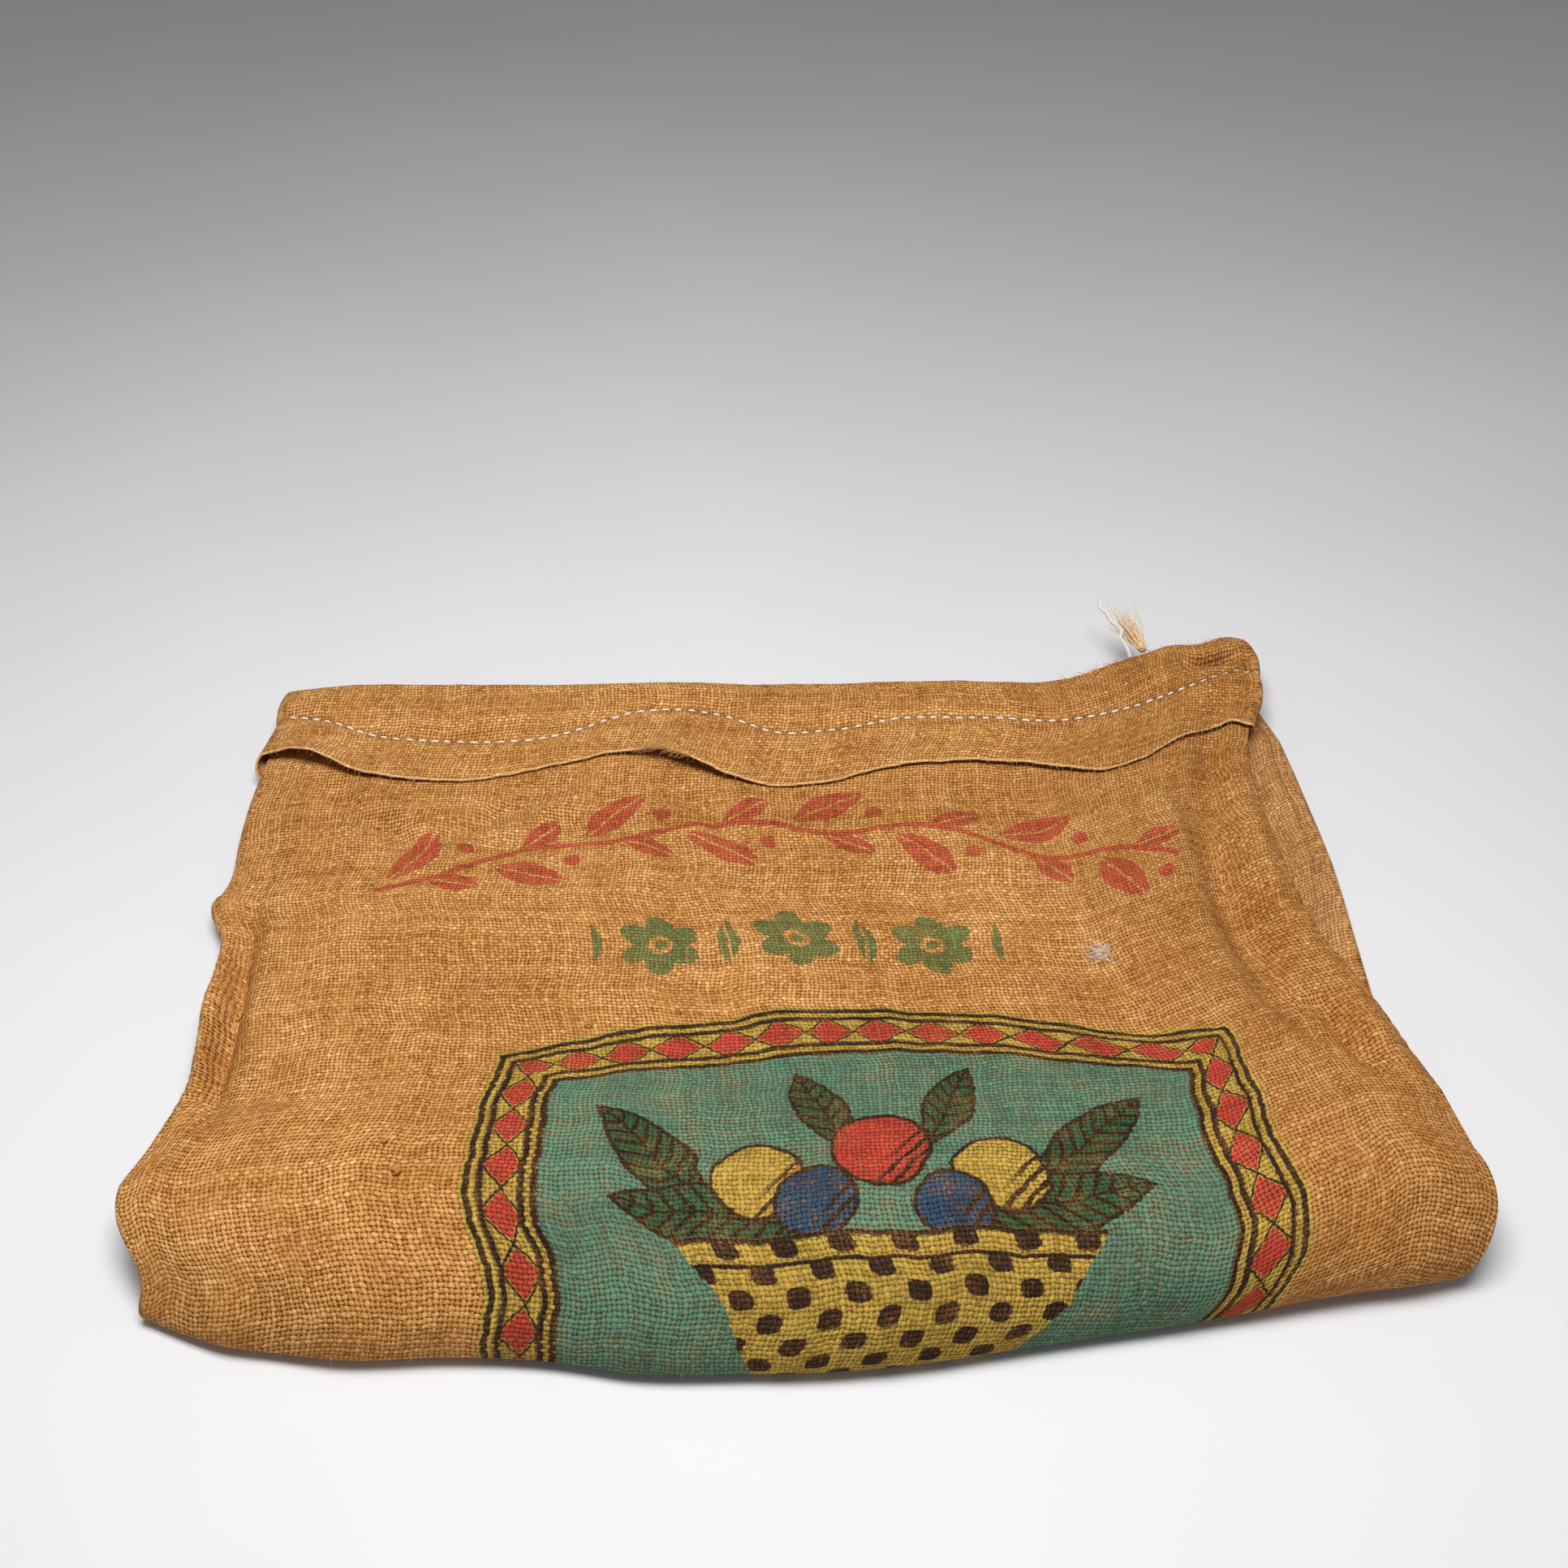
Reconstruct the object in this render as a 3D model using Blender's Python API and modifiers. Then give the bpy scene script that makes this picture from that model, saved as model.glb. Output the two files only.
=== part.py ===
"""An empty burlap sack, folded once across its middle and lying on a surface.

Metres, +Z up. X runs across the sack, its mouth is towards +Y and the puffed fold towards -Y.
The sack is one sheet: a tube flattened to a front and a back panel, closed at its far end, with
the mouth turned outward in a hem. It is built as rings round that tube, from the raw edge of the
hem, over the mouth fold, along the top, round the puffed fold and back along the surface.
"""

import math
from collections import namedtuple

import bmesh
import bpy
import numpy as np
from mathutils import Vector

# ---- driving dimensions -------------------------------------------------------------------------
CLOTH = 0.0012              # thickness of the burlap
MOUTH_Y = 0.197             # mouth fold, nominal
CREST_Y = -0.166            # top of the puffed fold, nominal
END_Y = 0.172               # closed end of the sack, under the mouth
EDGE_GAP = 0.0042           # front to back panel at a side fold
RIGHT_EDGE_GAP = 0.0085     # the same at the right side fold of the under half, over its seam
HEM_BEND = 0.0016           # radius of the mouth fold
HEM_PINCH = 0.0021          # hem to panel at the line of sewing
HEM_CROWN = 0.0036          # hem to panel between that line and the mouth fold
BACK_STITCH = 0.034         # line of sewing on the back panel, from the mouth fold
BACK_HEM = 0.068            # raw edge of the hem on the back panel, from the mouth fold
RIM_WIDTH = 0.012           # how far in from a side fold the panels droop towards it
RIM_DROP = 0.0026           # and by how much
RIGHT_BULGE = 0.0110        # the roll's right end swells this far half way down
LEFT_TUCK = 0.0090          # its left end is tucked in this far, about this share of the way down
TUCK_PLACE = 0.47
TUCK_REACH = 0.21
RIM_FADE = 4                # power of the way to the crest by which that drooping ends
CROWN_PLACE = 0.45          # where the hem stands highest, as a share of the way to the sewing
HEM_MIDDLE_LIFT = 0.35      # share of the raw edge's lift that is left midway to the sewing
HEM_SLACK = 0.0002          # and what is added to it there
TOP_LENS = 3                # power by which the panels near each other at a side fold: upper half
LOW_LENS = 12               # and on the half that lies on the surface
SEAM_BAND = 0.2             # share of the half width over which the right seam parts the panels

# ---- resolution ---------------------------------------------------------------------------------
HALF_COLUMNS = 15           # columns from a side fold to the middle of a panel
EVEN_COLUMNS = 0.30         # share of them that is evenly spaced; the rest crowd towards the folds
COLUMN_CROWDING = 2.6
CAP_STEPS = 3               # steps round a side fold
BEND_STEPS = 3              # steps round the mouth fold
TOP_ROWS = 10               # rows from the hem's raw edge to the crest
ROLL_ROWS = 10              # rows round the puffed fold
LOW_ROWS = 5                # rows along the surface
END_STEPS = 2               # steps round the closed end
FOLD_STEPS = 25             # places along the line of a trough or ridge
FOLD_FADE = 0.7             # power by which a trough or ridge fades towards its ends
WELD = 0.00002              # merges the panels where the closed end brings them together

# ---- tables: one row for each section, smooth curves run through the rows -------------------------
# Outermost reach of the side folds, on the upper half and on the half that lies on the surface.
Side = namedtuple("Side", "y left_top left_low right_top right_low")
SIDES = [
    Side(-0.165, -0.281, -0.264, 0.296, 0.270),
    Side(-0.140, -0.275, -0.266, 0.294, 0.281),
    Side(-0.110, -0.270, -0.268, 0.290, 0.287),
    Side(-0.080, -0.273, -0.270, 0.283, 0.287),
    Side(-0.050, -0.278, -0.272, 0.274, 0.286),
    Side(-0.025, -0.279, -0.272, 0.267, 0.287),
    Side(0.000, -0.283, -0.274, 0.264, 0.288),
    Side(0.020, -0.293, -0.276, 0.263, 0.289),
    Side(0.045, -0.290, -0.277, 0.262, 0.290),
    Side(0.080, -0.293, -0.280, 0.261, 0.289),
    Side(0.115, -0.294, -0.282, 0.263, 0.287),
    Side(0.135, -0.293, -0.283, 0.269, 0.286),
    Side(0.150, -0.292, -0.283, 0.276, 0.285),
    Side(0.175, -0.291, -0.284, 0.282, 0.283),
    Side(0.200, -0.291, -0.284, 0.290, 0.280),
]

# The puffed fold across the sack: its foremost line, its depth behind that, its crest's height.
Roll = namedtuple("Roll", "x front depth height")
ROLLS = [
    Roll(-0.279, -0.2095, 0.0460, 0.0330),
    Roll(-0.262, -0.2165, 0.0515, 0.0380),
    Roll(-0.245, -0.2222, 0.0565, 0.0420),
    Roll(-0.222, -0.2260, 0.0605, 0.0450),
    Roll(-0.190, -0.2295, 0.0640, 0.0470),
    Roll(-0.140, -0.2285, 0.0635, 0.0475),
    Roll(-0.104, -0.2300, 0.0650, 0.0480),
    Roll(-0.065, -0.2355, 0.0695, 0.0485),
    Roll(-0.020, -0.2360, 0.0700, 0.0490),
    Roll(0.050, -0.2325, 0.0675, 0.0490),
    Roll(0.110, -0.2230, 0.0610, 0.0470),
    Roll(0.200, -0.2090, 0.0560, 0.0480),
    Roll(0.250, -0.2005, 0.0505, 0.0460),
    Roll(0.280, -0.1965, 0.0475, 0.0410),
    Roll(0.304, -0.1900, 0.0440, 0.0330),
]

# The mouth and its hem across the sack: fold line, height, sewing, raw edge and how far it lifts.
Mouth = namedtuple("Mouth", "x y height stitch hem lift")
MOUTHS = [
    Mouth(-0.297, 0.198, 0.0170, 0.018, 0.054, 0.0030),
    Mouth(-0.262, 0.198, 0.0200, 0.029, 0.064, 0.0075),
    Mouth(-0.235, 0.199, 0.0200, 0.041, 0.075, 0.0035),
    Mouth(-0.190, 0.199, 0.0200, 0.047, 0.081, 0.0005),
    Mouth(-0.123, 0.199, 0.0205, 0.042, 0.069, 0.0005),
    Mouth(-0.090, 0.199, 0.0215, 0.025, 0.060, 0.0015),
    Mouth(-0.060, 0.199, 0.0215, 0.022, 0.064, 0.0055),
    Mouth(-0.036, 0.199, 0.0210, 0.027, 0.075, 0.0045),
    Mouth(-0.005, 0.199, 0.0200, 0.040, 0.085, 0.0005),
    Mouth(0.030, 0.200, 0.0200, 0.039, 0.083, 0.0005),
    Mouth(0.070, 0.202, 0.0205, 0.031, 0.072, 0.0010),
    Mouth(0.115, 0.202, 0.0210, 0.032, 0.069, 0.0020),
    Mouth(0.160, 0.201, 0.0215, 0.034, 0.073, 0.0025),
    Mouth(0.200, 0.218, 0.0230, 0.040, 0.085, 0.0005),
    Mouth(0.238, 0.234, 0.0265, 0.038, 0.077, 0.0015),
    Mouth(0.258, 0.238, 0.0280, 0.032, 0.071, 0.0040),
    Mouth(0.286, 0.236, 0.0275, 0.021, 0.078, 0.0025),
]

# Height of the upper half from the mouth (0) to the crest (1), as shares of the crest's and the
# mouth's own heights, with the distance down to the back panel.
Slope = namedtuple("Slope", "way crest_share mouth_share gap")
SLOPES = [
    Slope(0.00, 0.00, 1.00, 0.0036),
    Slope(0.11, 0.00, 0.94, 0.0037),
    Slope(0.21, 0.08, 0.66, 0.0040),
    Slope(0.31, 0.24, 0.32, 0.0044),
    Slope(0.46, 0.43, 0.00, 0.0050),
    Slope(0.66, 0.56, 0.00, 0.0065),
    Slope(0.83, 0.74, 0.00, 0.0090),
    Slope(0.93, 0.92, 0.00, 0.0110),
    Slope(1.00, 1.00, 0.00, 0.0120),
]

# Outline of the puffed fold, from its crest (0) round to where it meets the surface (1), as shares
# of its depth and height.
Turn = namedtuple("Turn", "way forward up")
TURNS = [
    Turn(0.00, 0.00, 1.000),
    Turn(0.12, 0.22, 0.985),
    Turn(0.24, 0.44, 0.925),
    Turn(0.36, 0.65, 0.810),
    Turn(0.48, 0.83, 0.640),
    Turn(0.59, 0.95, 0.450),
    Turn(0.69, 1.00, 0.270),
    Turn(0.78, 0.95, 0.120),
    Turn(0.87, 0.80, 0.035),
    Turn(1.00, 0.52, 0.000),
]
FRONT_GAP = 0.0130          # front to back panel at the foremost line of the puffed fold
LOW_GAP = 0.0050            # front to back panel on the half that lies on the surface

# Soft troughs (height below 0) and ridges of the upper half: three points of each line.
Fold = namedtuple("Fold", "x0 y0 x1 y1 x2 y2 width height")
FOLDS = [
    Fold(-0.272, 0.012, -0.264, -0.055, -0.252, -0.140, 0.0080, -0.0075),   # inside the left rim
    Fold(-0.285, 0.035, -0.278, -0.050, -0.268, -0.140, 0.0070, 0.0030),    # left rim
    Fold(0.222, 0.130, 0.219, -0.030, 0.272, -0.105, 0.0140, -0.0070),      # inside the right rim
    Fold(0.252, 0.160, 0.254, 0.000, 0.288, -0.085, 0.0100, 0.0045),        # right rim
    Fold(-0.215, 0.060, -0.150, 0.050, -0.060, 0.110, 0.0220, -0.0025),     # below the hem, left
    Fold(-0.200, 0.015, -0.120, 0.000, -0.060, 0.050, 0.0200, 0.0020),
    Fold(0.050, 0.100, 0.120, 0.060, 0.170, -0.040, 0.0260, 0.0022),
    Fold(0.110, 0.020, 0.150, -0.030, 0.170, -0.100, 0.0240, -0.0024),
    Fold(-0.150, -0.060, -0.050, -0.110, 0.090, -0.095, 0.0220, -0.0026),   # behind the crest
    Fold(0.225, -0.130, 0.262, -0.150, 0.292, -0.150, 0.0130, 0.0030),
]

# ---- loose ends ---------------------------------------------------------------------------------
TAIL_DIAMETER = 0.0016      # chained white thread
TAIL_POINTS = 26
# The thread tail's route: it leaves the mouth fold, springs out behind it and sags at its end.
Stop = namedtuple("Stop", "x y z")
TAIL_ROUTE = [
    Stop(0.2062, 0.2206, 0.0266),
    Stop(0.2050, 0.2270, 0.0290),
    Stop(0.2020, 0.2340, 0.0312),
    Stop(0.2030, 0.2410, 0.0326),
    Stop(0.1982, 0.2480, 0.0332),
    Stop(0.1972, 0.2560, 0.0330),
    Stop(0.1940, 0.2640, 0.0320),
    Stop(0.1952, 0.2730, 0.0302),
]
TUFT_ROOT = (0.2145, 0.2269, 0.0275)    # middle of the yarn's bound root
TUFT_RADIUS = 0.0024
TUFT_LENGTH = 0.042
TUFT_STEPS = 5
TUFT_AIM = (-0.24, 0.95, 0.16)          # way that the loose strands point
TUFT_SPREAD = 0.26                      # how far they fan out
TUFT_INSET = 0.00018                    # parts the strands at their roots
TUFT_FACING = 0.35                      # how nearly a face looks along the aim to bear a strand
TUFT_TAPER = 0.80                       # width of a strand's step, as a share of the last one's
TUFT_BEND = 0.16
TUFT_SHORTEST = 0.72                    # shortest strand, as a share of the longest
LENGTH_RHYTHM = 2.4                     # these three make each strand's length and bend its own
BEND_RHYTHM = 1.7
RISE_RHYTHM = 2.9

FRAME_NAME = "sack_frame"
BOX_MIDDLE = (0.0015, 0.0169)   # middle of the sack and its tuft, which the part's frame puts at zero

BURLAP_COLOUR = (0.56, 0.31, 0.12, 1.0)
THREAD_COLOUR = (0.80, 0.78, 0.72, 1.0)
YARN_COLOUR = (0.68, 0.47, 0.24, 1.0)


def column_of(table, column):
    """One named column of a table."""
    return np.array([getattr(row, column) for row in table])


def smooth(table, key, column, at):
    """A table's column at the given keys, on a smooth curve through its rows."""
    keys = column_of(table, key)
    values = column_of(table, column)
    slopes = np.gradient(values, keys)
    row = np.clip(np.searchsorted(keys, at) - 1, 0, len(keys) - 2)
    span = keys[row + 1] - keys[row]
    u = np.clip((at - keys[row]) / span, 0.0, 1.0)
    start = (1 + 2 * u) * (1 - u) ** 2 * values[row] + u * (1 - u) ** 2 * span * slopes[row]
    stop = u**2 * (3 - 2 * u) * values[row + 1] + u**2 * (u - 1) * span * slopes[row + 1]
    return start + stop


def ease(u):
    """0 to 1 with level ends."""
    u = np.clip(u, 0.0, 1.0)
    return u * u * (3 - 2 * u)


def fold_height(x, y):
    """Sum of the soft troughs and ridges at a place on the upper half."""
    total = np.zeros_like(x)
    for fold in FOLDS:
        nearest = np.full_like(x, np.inf)
        fade = np.zeros_like(x)
        for u in np.linspace(0.0, 1.0, FOLD_STEPS):
            line_x = (1 - u) ** 2 * fold.x0 + 2 * u * (1 - u) * fold.x1 + u**2 * fold.x2
            line_y = (1 - u) ** 2 * fold.y0 + 2 * u * (1 - u) * fold.y1 + u**2 * fold.y2
            away = np.hypot(x - line_x, y - line_y)
            closer = away < nearest
            nearest = np.where(closer, away, nearest)
            fade = np.where(closer, math.sin(math.pi * u) ** FOLD_FADE, fade)
        total += fold.height * fade * np.exp(-((nearest / fold.width) ** 2))
    return total


def side_reach(q):
    """The left and right side folds at a way q: 0 mouth, 1 crest, 2 surface, 3 closed end."""
    top_y = MOUTH_Y + (CREST_Y - MOUTH_Y) * np.clip(q, 0, 1)
    low_y = CREST_Y + (END_Y - CREST_Y) * np.clip(q - 2, 0, 1)
    turn = ease(q - 1)
    left_top = smooth(SIDES, "y", "left_top", top_y)
    left_low = smooth(SIDES, "y", "left_low", low_y)
    right_top = smooth(SIDES, "y", "right_top", top_y)
    right_low = smooth(SIDES, "y", "right_low", low_y)
    left = (1 - turn) * left_top + turn * left_low
    right = (1 - turn) * right_top + turn * right_low
    right += RIGHT_BULGE * np.sin(math.pi * np.clip(q - 1, 0, 1))
    left += LEFT_TUCK * np.exp(-(((q - 1 - TUCK_PLACE) / TUCK_REACH) ** 2))
    return left + EDGE_GAP / 2, right - EDGE_GAP / 2


def panel(q, across, inner):
    """Points of the front panel, or of the back panel within it, at ways q and places across.

    across runs from -1 at the left side fold to 1 at the right one.
    """
    left, right = side_reach(q)
    crest_left, crest_right = side_reach(1.0)
    x = left + (right - left) * (across + 1) / 2
    crest_x = crest_left + (crest_right - crest_left) * (across + 1) / 2
    front = smooth(ROLLS, "x", "front", crest_x)
    depth = smooth(ROLLS, "x", "depth", crest_x)
    crest = smooth(ROLLS, "x", "height", crest_x)
    crest_y = front + depth
    mouth_y = smooth(MOUTHS, "x", "y", x) - HEM_BEND - CLOTH / 2
    floor_z = CLOTH / 2

    lens = 1 - np.abs(across) ** TOP_LENS
    by_seam = ease((across - 1 + SEAM_BAND) / SEAM_BAND) * ease(q - 1)
    edge_gap = EDGE_GAP + (RIGHT_EDGE_GAP - EDGE_GAP) * by_seam
    way = np.clip(q, 0, 1)
    top_gap = EDGE_GAP + (smooth(SLOPES, "way", "gap", way) - EDGE_GAP) * lens
    front_gap = EDGE_GAP + (FRONT_GAP - EDGE_GAP) * lens
    low_gap = edge_gap + (LOW_GAP - edge_gap) * (1 - np.abs(across) ** LOW_LENS)

    # upper half
    top_y = mouth_y + (crest_y - mouth_y) * way
    mouth_z = smooth(MOUTHS, "x", "height", x)
    top_z = crest * smooth(SLOPES, "way", "crest_share", way)
    top_z += mouth_z * smooth(SLOPES, "way", "mouth_share", way)
    rim = np.minimum(x - left, right - x)
    top_z -= RIM_DROP * np.exp(-rim / RIM_WIDTH) * (1 - way**RIM_FADE)
    top_z += fold_height(x, top_y) - inner * top_gap

    # puffed fold
    turn = np.clip(q - 1, 0, 1)
    forward = smooth(TURNS, "way", "forward", turn) * (depth - inner * front_gap)
    crest_gap = EDGE_GAP + (SLOPES[-1].gap - EDGE_GAP) * lens
    crest_z = crest + fold_height(crest_x, crest_y) - inner * crest_gap
    base_z = floor_z + inner * low_gap
    roll_y = crest_y - forward
    roll_z = base_z + (crest_z - base_z) * smooth(TURNS, "way", "up", turn)

    # half on the surface
    low = np.clip(q - 2, 0, 1)
    landing = crest_y - smooth(TURNS, "way", "forward", np.ones_like(x)) * (depth - inner * front_gap)
    low_y = landing + (END_Y - landing) * low

    y = np.where(q <= 1, top_y, np.where(q <= 2, roll_y, low_y))
    z = np.where(q <= 1, top_z, np.where(q <= 2, roll_z, base_z))
    return np.stack([x, y, z], axis=-1)


def ring_places():
    """Places round the tube: across, the angle round the section, and which side fold is near."""
    step = np.linspace(0.0, 1.0, HALF_COLUMNS + 1)
    half = -1 + EVEN_COLUMNS * step + (1 - EVEN_COLUMNS) * step**COLUMN_CROWDING
    across = np.concatenate([half, -half[-2::-1]])
    cap = np.linspace(0.0, math.pi, CAP_STEPS + 1)[1:-1]
    places = np.concatenate([across, np.ones(len(cap)), across[::-1], -np.ones(len(cap))])
    angles = np.concatenate([np.zeros(len(across)), cap, np.full(len(across), math.pi), cap[::-1]])
    return places, angles


def ring(q, places, angles, squeeze=1.0):
    """One ring round the tube, and its outward directions. squeeze closes the panels together."""
    outer = panel(q, places, 0.0)
    inner = panel(q, places, 1.0)
    between = outer - inner
    gap = np.linalg.norm(between, axis=1, keepdims=True)
    middle = (outer + inner) / 2
    sideways = np.zeros_like(outer)
    sideways[:, 0] = np.sign(places) * np.sin(angles)
    outward = between / gap * np.cos(angles)[:, None] + sideways
    return middle + outward * gap / 2 * squeeze, outward


def hem_sizes(places, angles):
    """Distance of the sewing and of the raw edge from the mouth fold, and the lift, round the ring."""
    x = panel(np.zeros_like(places), places, 0.0)[:, 0]
    under = (1 - np.cos(angles)) / 2
    stitch = smooth(MOUTHS, "x", "stitch", x) * (1 - under) + BACK_STITCH * under
    edge = smooth(MOUTHS, "x", "hem", x) * (1 - under) + BACK_HEM * under
    lift = smooth(MOUTHS, "x", "lift", x) * (1 - under)
    return stitch, edge, lift


def sack_rings():
    """All rings, from the raw edge of the hem to the closed end."""
    places, angles = ring_places()
    stitch, edge, lift = hem_sizes(places, angles)
    mouth = panel(np.zeros_like(places), places, 0.0)[:, 1]
    crest = panel(np.ones_like(places), places, 0.0)[:, 1]
    length = mouth - crest

    rings = []
    # hem, from its raw edge to the mouth fold: distance from the fold and height over the panel
    crown = stitch * CROWN_PLACE
    halfway = (stitch + edge) / 2
    hem_rows = [
        (edge, HEM_PINCH + lift),
        (halfway, HEM_PINCH + lift * HEM_MIDDLE_LIFT + HEM_SLACK),
        (stitch, np.full_like(stitch, HEM_PINCH)),
        (crown, np.full_like(stitch, HEM_CROWN)),
    ]
    for distance, height in hem_rows:
        base, outward = ring(distance / length, places, angles)
        rings.append(base + outward * height[:, None])
    start, outward = ring(np.zeros_like(places), places, angles)
    along = np.array([0.0, 1.0, 0.0])
    for step in range(BEND_STEPS, 0, -1):
        turn = math.pi * step / BEND_STEPS
        rise = outward * HEM_BEND * (1 - math.cos(turn))
        rings.append(start + rise + along * HEM_BEND * math.sin(turn))

    # upper half: rows under the hem match the hem's own rows
    for distance in (np.zeros_like(stitch), crown, stitch, halfway, edge):
        rings.append(ring(distance / length, places, angles)[0])
    for row in range(1, TOP_ROWS + 1):
        distance = edge + (length - edge) * row / TOP_ROWS
        rings.append(ring(distance / length, places, angles)[0])
    for row in range(1, ROLL_ROWS + 1):
        rings.append(ring(np.full_like(places, 1 + row / ROLL_ROWS), places, angles)[0])
    for row in range(1, LOW_ROWS + 1):
        rings.append(ring(np.full_like(places, 2 + row / LOW_ROWS), places, angles)[0])

    # closed end: the panels come together round a small bend
    for step in range(1, END_STEPS + 1):
        turn = math.pi / 2 * step / END_STEPS
        last = ring(np.full_like(places, 3.0), places, angles, squeeze=math.cos(turn))[0]
        rings.append(last + along * LOW_GAP / 2 * math.sin(turn))
    return rings


def collection_named(name):
    """A fresh collection linked to the scene."""
    group = bpy.data.collections.new(name)
    bpy.context.scene.collection.children.link(group)
    return group


def material_named(name, colour, roughness):
    """A plain Principled material."""
    material = bpy.data.materials.new(name)
    material.use_nodes = True
    shader = material.node_tree.nodes["Principled BSDF"]
    shader.inputs["Base Color"].default_value = colour
    shader.inputs["Roughness"].default_value = roughness
    shader.inputs["Metallic"].default_value = 0.0
    return material


def add_object(name, data, material, group):
    """A named object with its material, in the object's collection and on its frame."""
    data.materials.append(material)
    thing = bpy.data.objects.new(name, data)
    group.objects.link(thing)
    thing.parent = group.objects[FRAME_NAME]
    return thing


def make_sack(group):
    """The folded sack: an open sheet of rings, welded at its closed end and given its thickness."""
    rings = sack_rings()
    count = len(rings[0])
    bm = bmesh.new()
    rows = [[bm.verts.new(point) for point in ring_points] for ring_points in rings]
    for this, following in zip(rows, rows[1:]):
        for i in range(count):
            j = (i + 1) % count
            bm.faces.new((this[i], following[i], following[j], this[j]))
    bmesh.ops.remove_doubles(bm, verts=rows[-1], dist=WELD)
    bmesh.ops.recalc_face_normals(bm, faces=bm.faces)
    data = bpy.data.meshes.new("sack_cloth")
    bm.to_mesh(data)
    bm.free()
    data.shade_smooth()
    sack = add_object("sack_cloth", data, material_named("burlap", BURLAP_COLOUR, 0.95), group)
    shell = sack.modifiers.new("thickness", "SOLIDIFY")
    shell.thickness = CLOTH
    shell.offset = 0.0
    shell.use_even_offset = True
    return sack


def smooth_route(stops, points):
    """Evenly spaced points on a smooth curve through the stops of a route."""
    places = np.array([tuple(stop) for stop in stops])
    way = np.concatenate([[0.0], np.cumsum(np.linalg.norm(np.diff(places, axis=0), axis=1))])
    slopes = np.gradient(places, way, axis=0)
    at = np.linspace(0.0, way[-1], points)
    row = np.clip(np.searchsorted(way, at) - 1, 0, len(way) - 2)
    span = (way[row + 1] - way[row])[:, None]
    u = (at - way[row])[:, None] / span
    start = (1 + 2 * u) * (1 - u) ** 2 * places[row] + u * (1 - u) ** 2 * span * slopes[row]
    stop = u**2 * (3 - 2 * u) * places[row + 1] + u**2 * (u - 1) * span * slopes[row + 1]
    return start + stop


def make_thread_tail(group):
    """The free end of the hem's white thread."""
    data = bpy.data.curves.new("thread_tail", "CURVE")
    data.dimensions = "3D"
    data.bevel_depth = TAIL_DIAMETER / 2
    data.bevel_resolution = 2
    data.use_fill_caps = True
    spline = data.splines.new("POLY")
    route = smooth_route(TAIL_ROUTE, TAIL_POINTS)
    spline.points.add(len(route) - 1)
    for point, place in zip(spline.points, route):
        point.co = (*place, 1.0)
    return add_object("thread_tail", data, material_named("thread", THREAD_COLOUR, 0.8), group)


def make_yarn_tuft(group):
    """A frayed yarn end: strands that grow out of the faces of a bound root."""
    aim = Vector(TUFT_AIM).normalized()
    bm = bmesh.new()
    bmesh.ops.create_icosphere(bm, subdivisions=2, radius=TUFT_RADIUS)
    faces = [face for face in bm.faces if face.normal.dot(aim) > TUFT_FACING]
    ways = [face.normal.lerp(aim, 1 - TUFT_SPREAD).normalized() for face in faces]
    bmesh.ops.inset_individual(bm, faces=faces, thickness=TUFT_INSET, use_even_offset=True)
    for number, (face, way) in enumerate(zip(faces, ways)):
        share = TUFT_SHORTEST + (1 - TUFT_SHORTEST) * math.sin(number * LENGTH_RHYTHM) ** 2
        stride = TUFT_LENGTH * share / TUFT_STEPS
        sway = Vector((math.sin(number * BEND_RHYTHM), 0.0, math.cos(number * RISE_RHYTHM)))
        for step in range(TUFT_STEPS):
            grown = bmesh.ops.extrude_discrete_faces(bm, faces=[face])["faces"]
            face = grown[0]
            heading = (way + sway * TUFT_BEND * step / TUFT_STEPS).normalized()
            middle = face.calc_center_median()
            for vert in face.verts:
                vert.co = middle + (vert.co - middle) * TUFT_TAPER + heading * stride
    bmesh.ops.translate(bm, verts=bm.verts, vec=Vector(TUFT_ROOT))
    bmesh.ops.recalc_face_normals(bm, faces=bm.faces)
    data = bpy.data.meshes.new("yarn_tuft")
    bm.to_mesh(data)
    bm.free()
    return add_object("yarn_tuft", data, material_named("jute_yarn", YARN_COLOUR, 0.9), group)


def main():
    """Clears the scene and builds the sack with its loose ends."""
    for thing in list(bpy.data.objects):
        bpy.data.objects.remove(thing)
    group = collection_named("folded_burlap_sack")
    frame = bpy.data.objects.new(FRAME_NAME, None)
    frame.location = (-BOX_MIDDLE[0], -BOX_MIDDLE[1], 0.0)
    group.objects.link(frame)
    make_sack(group)
    make_thread_tail(group)
    make_yarn_tuft(group)


main()
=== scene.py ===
"""The folded burlap sack, dressed: its cloth with fine folds, weave and print, its sewing and fray.

Metres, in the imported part's frame. The cloth follows the same tables as the part's solid, with
more rows and columns and with the small folds laid on top. Tables that go through millimetres()
are written in millimetres.
"""

import math
import random
from collections import namedtuple
from functools import partialmethod

import bpy
import numpy as np
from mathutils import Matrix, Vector, noise


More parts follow.
